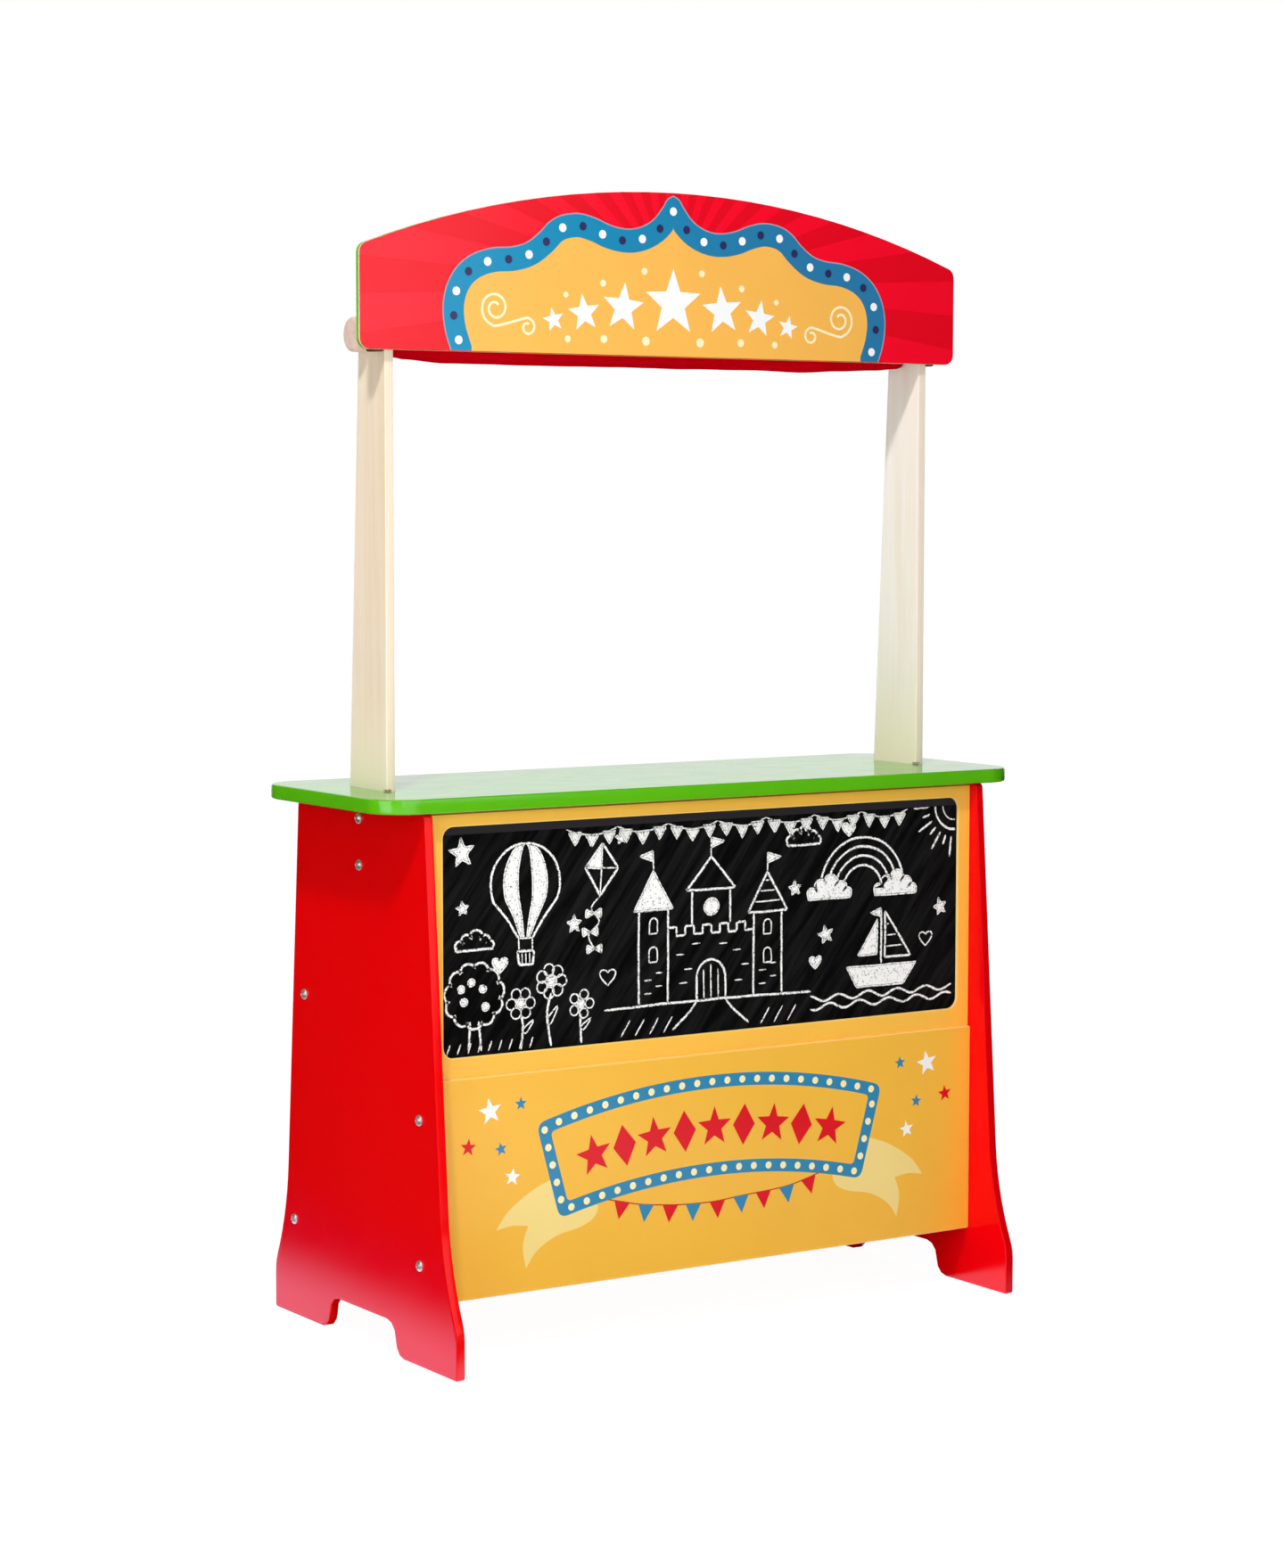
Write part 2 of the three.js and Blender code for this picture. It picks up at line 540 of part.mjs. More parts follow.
// Sign board: a printed face on a green backing, both with an arched top
function signOutline() {
  const half = uprightOuterX + SIGN_SIDE_OVERHANG;
  const r = SIGN_CORNER_R;
  const archR = (half ** 2 + SIGN_ARCH_RISE ** 2) / (2 * SIGN_ARCH_RISE);
  const archZ = SIGN_END_H + SIGN_ARCH_RISE - archR;
  const cornerX = half - r;
  const cornerZ = archZ + Math.sqrt((archR - r) ** 2 - cornerX ** 2);
  const cornerDeg = THREE.MathUtils.radToDeg(Math.atan2(cornerZ - archZ, cornerX));
  const outline = [];
  arc(outline, half - r, r, r, -90, 0, CORNER_STEPS);
  arc(outline, cornerX, cornerZ, r, 0, cornerDeg, CORNER_STEPS);
  arc(outline, 0, archZ, archR, cornerDeg, 180 - cornerDeg, ARCH_STEPS);
  arc(outline, -cornerX, cornerZ, r, 180 - cornerDeg, 180, CORNER_STEPS);
  arc(outline, r - half, r, r, 180, 270, CORNER_STEPS);
  return removeRepeats(outline);
}

function signBoards() {
  const face = facingForward(board(signOutline(), SIGN_FACE_T, SIGN_EDGE_R));
  const backingPlain = facingForward(board(signOutline(), SIGN_BACKING_T, SIGN_EDGE_R));
  const screwHoles = sides.map(({ sign }) => bar(
    'y', SCREW_R + SEAT_GAP, OVERRUN, -SIGN_BACKING_T * SCREW_BITE_SHARE - SEAT_GAP,
    { x: sign * bracketMidX, z: signScrewUp - BRACKET_DROP },
  ));
  const backing = cut(backingPlain, screwHoles);
  return [
    mesh('sign_face', face, signRed, 0, signFaceBackY, signBottomZ),
    mesh('sign_backing', backing, signGreen, 0, signBackY, signBottomZ),
  ];
}

// Brackets behind the sign, on the uprights' outer faces, with a screw each way
function bracket(side, sign) {
  const outline = roundedRectangle(
    -BRACKET_T / 2, BRACKET_T / 2, 0, BRACKET_H, BRACKET_CORNER_R, EDGE_STEPS,
  );
  const plain = facingForward(board(outline, bracketDepth, BRACKET_EDGE_R)).translate(0, bracketDepth, 0);
  const reach = bracketDepth + OVERRUN;
  const holes = [
    bar('y', SCREW_R + SEAT_GAP, -OVERRUN, reach, { z: signScrewUp }),
    bar('x', SCREW_R + SEAT_GAP, -reach, reach, { y: bracketDepth / 2, z: uprightScrewUp }),
  ];
  return mesh(
    `sign_bracket_${side}`, cut(plain, holes), bracketBrown,
    sign * bracketMidX, bracketFrontY, bracketBottomZ,
  );
}

// A screw along local +Z: its head's seat is at 0 and its tip at its length
function screwGeometry(length) {
  const profile = [
    [0, -SCREW_HEAD_H], [SCREW_HEAD_R / 2, -SCREW_HEAD_H], [SCREW_HEAD_R, -SCREW_HEAD_H / 3],
    [SCREW_HEAD_R, 0], [SCREW_R, 0], [SCREW_R, length - SCREW_R], [0, length],
  ].map(([x, y]) => new THREE.Vector2(x, y));
  const body = new THREE.LatheGeometry(profile, BAR_SIDES).rotateX(Math.PI / 2);
  const slotL = 2 * SCREW_HEAD_R;
  const slotH = SCREW_SLOT_DEEP + OVERRUN;
  const slots = [[slotL / 2, SCREW_SLOT_W], [SCREW_SLOT_W, slotL / 2]].map(([w, d]) => (
    new THREE.BoxGeometry(w, d, slotH).translate(0, 0, SCREW_SLOT_DEEP - SCREW_HEAD_H - slotH / 2)));
  return cut(body, slots);
}

function bracketScrews(side, sign) {
  const signScrewL = bracketDepth + 2 * SEAT_GAP + SIGN_BACKING_T * SCREW_BITE_SHARE;
  const uprightScrewL = BRACKET_T + 2 * SEAT_GAP + UPRIGHT_T * SCREW_BITE_SHARE;
  const intoSign = mesh(
    `sign_screw_${side}`, screwGeometry(signScrewL), steel,
    sign * bracketMidX, bracketFrontY + bracketDepth + SEAT_GAP, bracketBottomZ + signScrewUp,
  );
  intoSign.rotation.x = Math.PI / 2;
  const intoUpright = mesh(
    `bracket_screw_${side}`, screwGeometry(uprightScrewL), steel,
    sign * (bracketInnerX + BRACKET_T + SEAT_GAP), bracketMidY, bracketBottomZ + uprightScrewUp,
  );
  intoUpright.rotation.y = -sign * (Math.PI / 2);
  return [intoSign, intoUpright];
}

// A bolt along local +Z: its round head stands below 0 and its shank runs up to its length
function boltGeometry(length) {
  const profile = [new THREE.Vector2(0, -BOLT_HEAD_H)];
  for (let i = 1; i <= HEAD_STEPS; i += 1) {
    const angle = (i / HEAD_STEPS) * (Math.PI / 2);
    const crown = (BOLT_HEAD_H - BOLT_HEAD_RIM_H) * Math.cos(angle);
    profile.push(new THREE.Vector2(BOLT_HEAD_R * Math.sin(angle), -BOLT_HEAD_RIM_H - crown));
  }
  profile.push(new THREE.Vector2(BOLT_HEAD_R, 0));
  profile.push(new THREE.Vector2(BOLT_R, 0));
  profile.push(new THREE.Vector2(BOLT_R, length));
  profile.push(new THREE.Vector2(0, length));
  const body = new THREE.LatheGeometry(profile, BAR_SIDES).rotateX(Math.PI / 2);
  const socketEnd = HEX_SOCKET_DEEP - BOLT_HEAD_H;
  const socket = bar('z', HEX_SOCKET_R, -BOLT_HEAD_H - OVERRUN, socketEnd, {}, HEX_SIDES);
  return cut(body, [socket]);
}

function barrelNutGeometry() {
  const half = BARREL_NUT_L / 2;
  const body = bar('z', BARREL_NUT_R, -half, half, {});
  const reach = BARREL_NUT_R + OVERRUN;
  return cut(body, [bar('x', boltHoleR, -reach, reach, {})]);
}

// A cap nut along local +Z: a hexagon at 0 with a dome on it, open at 0 for the bolt
function capNutGeometry() {
  const flat = CAP_NUT_R * Math.cos(Math.PI / HEX_SIDES);
  const profile = [new THREE.Vector2(0, 0), new THREE.Vector2(flat, 0)];
  for (let i = 0; i <= HEAD_STEPS; i += 1) {
    const angle = (i / HEAD_STEPS) * (Math.PI / 2);
    const crown = CAP_NUT_DOME_H * Math.sin(angle);
    profile.push(new THREE.Vector2(flat * Math.cos(angle), CAP_NUT_BASE_H + crown));
  }
  profile[profile.length - 1].x = 0;
  const dome = new THREE.LatheGeometry(profile, BAR_SIDES).rotateX(Math.PI / 2);
  const hexagon = bar('z', CAP_NUT_R, 0, CAP_NUT_BASE_H, {}, HEX_SIDES);
  const body = geometryOf(solidOf(dome).add(solidOf(hexagon)));
  return cut(body, [bar('z', boltHoleR, -OVERRUN, CAP_NUT_BITE + SEAT_GAP, {})]);
}

const uprightBoltL = SIDE_T + UPRIGHT_T + 3 * SEAT_GAP + CAP_NUT_BITE;
const barrelBoltL = SIDE_T + SEAT_GAP + BARREL_SETBACK + BARREL_NUT_R + BOLT_PAST_NUT;

function fasteners(side, sign) {
  const group = new THREE.Group();
  for (const { name, nut, kind, y, z } of sideBolts) {
    const length = kind === 'upright' ? uprightBoltL : barrelBoltL;
    const boltX = sign * (sideOuterX + SEAT_GAP);
    const bolt = mesh(`${name}_${side}`, boltGeometry(length + SEAT_GAP), steel, boltX, y, z);
    bolt.rotation.y = -sign * (Math.PI / 2);
    group.add(bolt);
    if (kind === 'upright') {
      const capX = sign * (uprightInnerX - SEAT_GAP);
      const cap = mesh(`${nut}_${side}`, capNutGeometry(), steel, capX, y, z);
      cap.rotation.y = -sign * (Math.PI / 2);
      group.add(cap);
    } else {
      const barrel = mesh(`${nut}_${side}`, barrelNutGeometry(), steel, sign * barrelX, y, z);
      if (kind === 'front') barrel.rotation.x = Math.PI / 2;
      group.add(barrel);
    }
  }
  return group;
}

function dowels(side, sign) {
  const group = new THREE.Group();
  const sideX = sideInnerX + DOWEL_SIDE_BITE;
  const boardX = boardHalfX - DOWEL_BOARD_BITE;
  for (const { name, y, z } of sideDowels) {
    const length = sideX - boardX;
    const pin = mesh(`${name}_${side}`, bar('x', DOWEL_R, -length / 2, length / 2, {}), dowelWood);
    pin.position.set(sign * ((sideX + boardX) / 2), y, z);
    group.add(pin);
  }
  for (const { name, y } of counterDowels) {
    const low = sideTopZ - DOWEL_BOARD_BITE;
    const high = counterUnderZ + DOWEL_COUNTER_BITE;
    const pin = mesh(`${name}_${side}`, bar('z', DOWEL_R, low, high, {}), dowelWood);
    pin.position.set(sign * sideMidX, y, 0);
    group.add(pin);
  }
  return group;
}

// Curtain roller: a rod through both uprights, a knob on each end and the rolled cloth between them
const knobInnerX = uprightOuterX + KNOB_PLAY;
const rodEndX = knobInnerX + KNOB_BORE_L;

function curtainRod() {
  return mesh('curtain_rod', bar('x', CURTAIN_ROD_R, -rodEndX, rodEndX, {}, ROD_SIDES), paleWood);
}

function curtainKnob(side, sign) {
  const boreR = CURTAIN_ROD_R + SEAT_GAP;
  const profile = [
    new THREE.Vector2(0, KNOB_BORE_L + SEAT_GAP),
    new THREE.Vector2(boreR, KNOB_BORE_L + SEAT_GAP),
    new THREE.Vector2(boreR, 0),
    new THREE.Vector2(KNOB_R - KNOB_EDGE_R, 0),
    new THREE.Vector2(KNOB_R, KNOB_EDGE_R),
  ];
  arc(profile, KNOB_R - KNOB_ROUND_R, KNOB_L - KNOB_ROUND_R, KNOB_ROUND_R, 0, 90, SMALL_CORNER_STEPS);
  profile.push(new THREE.Vector2(0, KNOB_L));
  const geometry = new THREE.LatheGeometry(profile, ROD_SIDES).rotateX(Math.PI / 2);
  const knob = mesh(`curtain_knob_${side}`, geometryOf(solidOf(geometry)), paleWood, sign * knobInnerX);
  knob.rotation.y = sign * (Math.PI / 2);
  return knob;
}

// The rolled cloth: one turn of its outside winds in by the hem's thickness, and its ends draw in
function rollRadiusAt(x, halfLength) {
  const fromEnd = halfLength - Math.abs(x);
  const taper = THREE.MathUtils.smoothstep(fromEnd, ROLL_TIP_L, ROLL_TIP_L + ROLL_TAPER_L);
  const tip = THREE.MathUtils.clamp(fromEnd / ROLL_TIP_L, 0, 1);
  const drawnIn = ROLL_TIP_R + (ROLL_END_R - ROLL_TIP_R) * Math.sqrt(1 - (1 - tip) ** 2);
  return drawnIn + (ROLL_R - ROLL_END_R) * taper;
}

function curtainRoll() {
  const half = uprightInnerX - ROLL_END_PLAY;
  const stations = [];
  const tipSteps = SMALL_CORNER_STEPS;
  for (let i = 0; i < tipSteps; i += 1) stations.push((ROLL_TIP_L * i) / tipSteps);
  for (let i = 0; i <= ROLL_TAPER_STEPS; i += 1) {
    stations.push(ROLL_TIP_L + (ROLL_TAPER_L * i) / ROLL_TAPER_STEPS);
  }
  const xs = [...stations.map((s) => s - half), ...stations.map((s) => half - s).reverse()];
  const hem = THREE.MathUtils.degToRad(HEM_DEG);
  const hemStep = THREE.MathUtils.degToRad(HEM_STEP_DEG);
  const positions = [];
  const ringOf = (x, radiusAt) => {
    for (let i = 0; i < ROLL_SIDES; i += 1) {
      const turn = hemStep + ((2 * Math.PI - hemStep) * i) / (ROLL_SIDES - 1);
      const radius = radiusAt(turn / (2 * Math.PI));
      positions.push(x, radius * Math.cos(hem + turn), radius * Math.sin(hem + turn));
    }
  };
  const boreR = CURTAIN_ROD_R + SEAT_GAP;
  ringOf(-half, () => boreR);
  for (const x of xs) ringOf(x, (share) => rollRadiusAt(x, half) - CLOTH_HEM_T * (1 - share));
  ringOf(half, () => boreR);
  const rings = xs.length + 2;
  const indices = [];
  for (let ring = 0; ring < rings; ring += 1) {
    const next = (ring + 1) % rings;
    for (let i = 0; i < ROLL_SIDES; i += 1) {
      const j = (i + 1) % ROLL_SIDES;
      const [a, b] = [ring * ROLL_SIDES + i, ring * ROLL_SIDES + j];
      const [c, d] = [next * ROLL_SIDES + i, next * ROLL_SIDES + j];
      indices.push(a, b, c, b, d, c);
    }
  }
  const geometry = new THREE.BufferGeometry();
  geometry.setAttribute('position', new THREE.Float32BufferAttribute(positions, 3));
  geometry.setIndex(indices);
  return mesh('curtain_roll', geometryOf(solidOf(geometry)), clothRed);
}

// The whole stand
const theatre = new THREE.Group();
const carcass = new THREE.Group();
const stage = new THREE.Group();
const roller = new THREE.Group();
roller.position.set(0, 0, rollerZ);
theatre.add(carcass, stage, roller);
carcass.add(counterTop(), upperFrontPanel(), chalkboard(), lowerFrontPanel());
carcass.add(shelf('middle_shelf', 'middle_shelf', upperFrontBackY, MIDDLE_SHELF_MID_Z));
carcass.add(shelf('bottom_shelf', 'bottom_shelf', lowerFrontBackY, BOTTOM_SHELF_MID_Z));
stage.add(...signBoards());
roller.add(curtainRod(), curtainRoll());
for (const { side, sign } of sides) {
  carcass.add(sidePanel(side, sign), fasteners(side, sign), dowels(side, sign));
  stage.add(upright(side, sign), bracket(side, sign), ...bracketScrews(side, sign));
  roller.add(curtainKnob(side, sign));
}

export default theatre;
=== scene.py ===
"""Looks of the puppet theatre stand: the finish of every surface, the printed and chalked faces, the
rolled curtain, the fine turned parts, the lamps and the camera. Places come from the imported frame."""
import json
import math

import bpy
from mathutils import Matrix, Vector, noise
from mathutils.geometry import delaunay_2d_cdt

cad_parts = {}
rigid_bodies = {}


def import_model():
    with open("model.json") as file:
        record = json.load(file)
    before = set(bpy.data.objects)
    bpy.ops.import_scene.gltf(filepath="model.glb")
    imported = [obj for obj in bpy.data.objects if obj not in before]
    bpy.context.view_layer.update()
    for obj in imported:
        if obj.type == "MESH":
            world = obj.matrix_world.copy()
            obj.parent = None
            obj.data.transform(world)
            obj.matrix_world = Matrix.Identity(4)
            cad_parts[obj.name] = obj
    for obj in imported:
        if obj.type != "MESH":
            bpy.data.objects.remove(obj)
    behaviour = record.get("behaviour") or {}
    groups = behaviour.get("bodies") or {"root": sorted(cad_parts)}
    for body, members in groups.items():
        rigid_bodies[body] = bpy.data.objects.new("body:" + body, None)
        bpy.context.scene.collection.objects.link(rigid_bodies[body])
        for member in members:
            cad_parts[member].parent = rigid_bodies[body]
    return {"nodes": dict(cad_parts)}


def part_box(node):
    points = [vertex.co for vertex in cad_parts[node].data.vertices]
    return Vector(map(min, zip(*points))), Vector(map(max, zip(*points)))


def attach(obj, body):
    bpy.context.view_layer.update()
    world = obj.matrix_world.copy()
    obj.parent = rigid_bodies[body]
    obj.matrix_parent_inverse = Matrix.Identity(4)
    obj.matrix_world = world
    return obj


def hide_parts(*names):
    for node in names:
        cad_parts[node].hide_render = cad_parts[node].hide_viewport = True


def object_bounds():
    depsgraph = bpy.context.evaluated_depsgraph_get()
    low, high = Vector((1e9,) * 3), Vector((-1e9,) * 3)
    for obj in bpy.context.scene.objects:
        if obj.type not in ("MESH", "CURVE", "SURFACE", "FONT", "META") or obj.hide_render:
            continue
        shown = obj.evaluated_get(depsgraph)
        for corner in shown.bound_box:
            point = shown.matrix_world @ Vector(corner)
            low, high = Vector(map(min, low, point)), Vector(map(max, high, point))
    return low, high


for leftover in list(bpy.data.objects):
    bpy.data.objects.remove(leftover)
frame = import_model()
cad_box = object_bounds()

MM = 0.001
STAND = "stand"
ROLLER = "curtain_roller"
SIDES = (("left", -1), ("right", 1))
TAU = math.tau


# Colours

def screen(red, green, blue):
    """A colour as a screen shows it, 0 to 255, as the linear colour that a shader takes."""
    shares = (value / 255 for value in (red, green, blue))
    return tuple(s / 12.92 if s <= 0.04045 else ((s + 0.055) / 1.055) ** 2.4 for s in shares) + (1.0,)


WHITE = (1.0, 1.0, 1.0, 1.0)
PANEL_RED = screen(231, 0, 3)
# Painted light and shade: the right side panel's face is a paler red and its front edge a darker red than
# the left's
PANEL_RED_RIGHT_LIT = screen(240, 0, 10)
PANEL_EDGE_RIGHT_SHADED = screen(212, 0, 8)
COUNTER_GREEN = screen(86, 177, 14)
BOARD_YELLOW = screen(247, 182, 66)
# Partly painted highlight: the pale yellow of the boards' bare edges, carried onto the arrises where they
# catch light
BOARD_EDGE_AND_HIGHLIGHT = screen(250, 214, 136)
# Painted highlight: the pale line round the lower front's print and along its edges
BOARD_RIM_HIGHLIGHT = screen(254, 202, 116)
# Painted highlight: the paler red at the sign's left end
SIGN_RED_HIGHLIGHT_LEFT = screen(249, 20, 42)
SIGN_RED = screen(246, 2, 38)
SIGN_RED_DEEP = screen(228, 0, 28)
SIGN_CREAM_EDGE = screen(236, 214, 172)
SIGN_GREEN = screen(104, 182, 40)
# Painted highlight: the band's paler blue at its left end
BAND_BLUE_HIGHLIGHT_LEFT = screen(10, 136, 180)
BAND_BLUE_RIGHT = screen(40, 118, 164)
CHALK_WHITE = screen(244, 244, 242)
CHALKBOARD = screen(1, 1, 1)
CHALK_DUST = screen(40, 40, 41)
HEAD_STRIP = screen(44, 41, 44)
BIRCH_GLUE = screen(205, 176, 134)
BIRCH_EDGE = screen(240, 226, 208)
# Painted light: the paler birch that the uprights' faces turn to towards their feet
BIRCH_FOOT_PAINTED_LIGHT = screen(255, 240, 214)
SHELF_BIRCH = (screen(248, 236, 214), screen(233, 214, 180))
# Painted light and shade: one birch in two tones, darker on the left upright and lighter on the right one
LEFT_BIRCH_SHADED = (screen(249, 232, 210), screen(236, 213, 179))
RIGHT_BIRCH_LIT = (screen(254, 247, 240), screen(246, 232, 217))
BEECH_PALE = screen(236, 209, 195)
BEECH_WARM = screen(221, 190, 174)
BEECH_FLECK = screen(190, 150, 124)
DOWEL_TONE = screen(214, 178, 126)
BRACKET_BROWN = screen(92, 62, 36)
BRACKET_DARK = screen(70, 46, 26)
CLOTH_RED = screen(242, 0, 28)
CLOTH_DEEP = screen(216, 0, 18)
NICKEL = screen(232, 226, 216)
NICKEL_DULL = screen(214, 206, 194)
INK_COLOURS = {
    "white": (246, 246, 246), "navy": (44, 44, 88), "cream": (253, 238, 196), "band_rim": (150, 160, 176),
    "plaque_yellow": (247, 184, 84), "panel_yellow": (243, 186, 65), "ribbon_cream": (243, 218, 136),
    "red": (220, 14, 28), "blue": (48, 134, 176), "string_red": (176, 52, 34), "bulb_ring": (52, 96, 116),
    "bulb_cream": (242, 240, 192), "bulb_heart": (246, 236, 178), "upper_yellow": (250, 191, 74),
    # The next two are painted light: a pale highlight line round the window, and a shade under the counter
    "window_painted_highlight": (252, 212, 112), "head_shade": (140, 96, 26),
}


# Node trees, and finishes whose patterns lie in the piece's own coordinates

OFF_LATTICE = (0.31743, 0.27119, 0.43357)


class Nodes:
    """The node tree of a material or of the world, under construction."""

    def __init__(self, owner):
        owner.use_nodes = True
        self.tree = owner.node_tree
        self.tree.nodes.clear()

    def node(self, kind, inputs, output=0, **settings):
        """Adds a node, whose inputs are values or other nodes' outputs, and returns one of its outputs."""
        made = self.tree.nodes.new("ShaderNode" + kind)
        for name, value in settings.items():
            setattr(made, name, value)
        for name, value in inputs.items():
            if isinstance(value, bpy.types.NodeSocket):
                self.tree.links.new(value, made.inputs[name])
            else:
                made.inputs[name].default_value = value
        return made.outputs[output] if made.outputs else None

    def math(self, operation, *values):
        return self.node("Math", dict(enumerate(values)), operation=operation)

    def times(self, first, second):
        return self.math("MULTIPLY", first, second)

    def weighed(self, *parts):
        """The sum of some values, each times its weight."""
        total, *others = (self.times(value, weight) for value, weight in parts)
        for other in others:
            total = self.math("ADD", total, other)
        return total

    def axis(self, name, vector):
        return self.node("SeparateXYZ", {0: vector}, name)

    def between(self, value, low, high, to_low=0.0, to_high=1.0):
        """to_low at a value of low and to_high at high, eased at both ends and kept inside them."""
        ranges = {0: value, 1: low, 2: high, 3: to_low, 4: to_high}
        return self.node("MapRange", ranges, interpolation_type="SMOOTHSTEP")

    def blend(self, share, first, second):
        """A number between two others."""
        return self.node("Mix", {0: share, 2: first, 3: second})


class Finish(Nodes):
    """A material under construction. Its patterns take object coordinates, in metres, and its noises
    are moved off the planes where a flat board would cut them at their knots."""

    def __init__(self, name, roughness, **sockets):
        self.material = bpy.data.materials.new(name)
        super().__init__(self.material)
        self.shader = self.tree.nodes.new("ShaderNodeBsdfPrincipled")
        self.node("OutputMaterial", {"Surface": self.shader.outputs["BSDF"]})
        self.shader.inputs["Roughness"].default_value = roughness
        for socket, value in sockets.items():
            self.shader.inputs[socket.replace("_", " ")].default_value = value
        self.place = self.node("TexCoord", {}, "Object")
        self.normal = self.node("TexCoord", {}, "Normal")
        self.scattered = self.node("VectorMath", {0: self.place, 1: OFF_LATTICE}, operation="ADD")

    def noise(self, scale, detail=2.0, roughness=0.5, distortion=0.0, vector=None):
        look = {"Scale": scale, "Detail": detail, "Roughness": roughness, "Distortion": distortion}
        return self.node("TexNoise", {"Vector": vector or self.scattered, **look})

    def fibres(self, lay, along, across, *look):
        """Noise drawn out along an axis."""
        scale = tuple(along if axis == lay else across for axis in "XYZ")
        drawn = self.node("VectorMath", {0: self.scattered, 1: scale}, operation="MULTIPLY")
        return self.noise(1.0, *look, vector=drawn)

    def mix(self, share, first, second):
        """A colour between two others."""
        return self.node("Mix", {0: share, 6: first, 7: second}, 2, data_type="RGBA")

    def facing(self, axis, limit):
        """1 where the surface faces along an axis, either way, and 0 elsewhere."""
        return self.math("GREATER_THAN", self.math("ABSOLUTE", self.axis(axis, self.normal)), limit)

    def ahead(self, limit):
        """1 where the surface faces the front, and 0 elsewhere."""
        return self.math("LESS_THAN", self.axis("Y", self.normal), -limit)

    def set(self, socket, value):
        self.tree.links.new(value, self.shader.inputs[socket])

    def done(self, tone, height=None, depth=0.0):
        """The material, of a tone and with the relief of a height pattern, whose range is depth metres."""
        self.set("Base Color", tone)
        if height:
            self.set("Normal", self.node("Bump", {"Height": height, "Distance": depth, "Strength": 1.0}))
        return self.material


# Noises: repeats a metre, detail, roughness and distortion

BROAD = (7.0, 3.0)
GLOSS = (28.0, 2.0)
PEEL = (420.0, 2.0)
SPECK = (1400.0, 1.0)
END_GRAIN = (900.0, 3.0, 0.7)
WIPES = (1.0, 5.0, 0.65, 0.5)
DUST = (900.0, 3.0, 0.7)
BOARD_TOOTH = (1800.0, 2.0)
CHALK_GRAIN = (900.0, 3.0, 0.75)
CHALK_GAPS = (520.0, 4.0, 0.8)
NICKEL_SMEAR = (220.0, 3.0, 0.6)
NICKEL_HAZE = (700.0, 2.0)
MOTTLE = (1600.0, 3.0, 0.6)
CLOTH_BROAD = (9.0, 3.0)

# Fibres: repeats a metre along and across them, then detail, roughness and distortion

PLY_FIBRE = (5.0, 260.0, 4.0, 0.6)
PLY_FIGURE = (1.6, 22.0, 3.0, 0.55, 1.4)
BEECH_FIBRE = (14.0, 420.0, 4.0, 0.6)
BEECH_RINGS = (6.0, 120.0, 2.0, 0.5, 0.8)
BEECH_SPECKS = (90.0, 900.0, 2.0, 0.6)
CLOTH_SLUB = (60.0, 900.0, 3.0, 0.6)

# Ranges of a pattern, the first two where it starts and ends, and the last two what it gives there

SOFT = (0.3, 0.7)
HALF = (0.25, 0.75)
FIGURE_RANGE = (0.32, 0.68)
PLY_RANGE = (0.3, 0.7, 0.55, 1.0)
FLECK_RANGE = (0.6, 0.72, 0.0, 0.55)
WIPE_RANGE = (0.36, 0.72, 0.12, 0.85)
DUST_RANGE = (0.3, 0.8, 0.45, 1.0)
GAP_RANGE = (0.5, 0.66, 0.0, 0.85)
BARE_RANGE = (0.93, 1.02)
NICKEL_RANGE = (0.3, 0.7, 0.28, 0.4)
THREAD_RANGE = (-1.0, 1.0, 0.0, 0.2)

# Paint and print

BROAD_WEIGHT, SPECK_WEIGHT = 0.75, 0.25
GLOSS_VARIES = 0.12
PAINT_SHADE = 0.05
INK_SHADE = 0.02
SIDE_SHADE = 0.015
PEEL_DEPTH = 0.02 * MM
SIDE_PEEL = 0.002 * MM
SIDE_ROUGHNESS = 0.15
COUNTER_ROUGHNESS = 0.16
PRINT_ROUGHNESS = 0.18
RIM_ROUGHNESS = 0.3
BACKING_ROUGHNESS = 0.4
SIDE_AHEAD = 0.55
SIGN_AHEAD = 0.35
RIM_FACING = 0.94
LEFT_MIRROR, RIGHT_MIRROR = 0.3, 0.12
sign_low, sign_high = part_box("sign_face")
RAY_CENTRE_Z = 1083 * MM
RAY_PAIRS = 31.0
RAY_SOFTNESS = 0.06


def lacquer(name, colour, roughness, shade=PAINT_SHADE, peel=PEEL_DEPTH, recolour=None, **sockets):
    """Sprayed paint: a little broad unevenness, fine specks and a faint orange peel. recolour takes the
    finish and its tone, and returns the tone with another colour on some faces."""
    paint = Finish(name, roughness, **sockets)
    dark, pale = (tuple(min(1.0, channel * (1 + step)) for channel in colour[:3]) + (1.0,)
                  for step in (-shade, shade))
    broad = paint.between(paint.noise(*BROAD), *SOFT)
    speck = paint.noise(*SPECK)
    tone = paint.mix(paint.weighed((broad, BROAD_WEIGHT), (speck, SPECK_WEIGHT)), dark, pale)
    paint.set("Roughness", paint.between(paint.noise(*GLOSS), *HALF, roughness * (1 - GLOSS_VARIES),
                                         roughness * (1 + GLOSS_VARIES)))
    return paint.done(recolour(paint, tone) if recolour else tone, paint.noise(*PEEL), peel)


def side_finish(side, face, front, mirror):
    """A side panel's red, with a tone of its own on the front edge; on the right panel both are painted
    light and shade.
    """
    return lacquer("side_red_" + side, face, SIDE_ROUGHNESS, SIDE_SHADE, SIDE_PEEL,
                   lambda paint, tone: paint.mix(paint.ahead(SIDE_AHEAD), tone, front),
                   Specular_IOR_Level=mirror)


def front_finish():
    """The upper front's yellow, with its edges paler: the bare board where the print ends, and a painted
    highlight on the arrises.
    """
    return lacquer("board_yellow_lacquer", BOARD_YELLOW, PRINT_ROUGHNESS,
                   recolour=lambda paint, tone: paint.mix(paint.facing("Y", RIM_FACING), BOARD_EDGE_AND_HIGHLIGHT, tone))


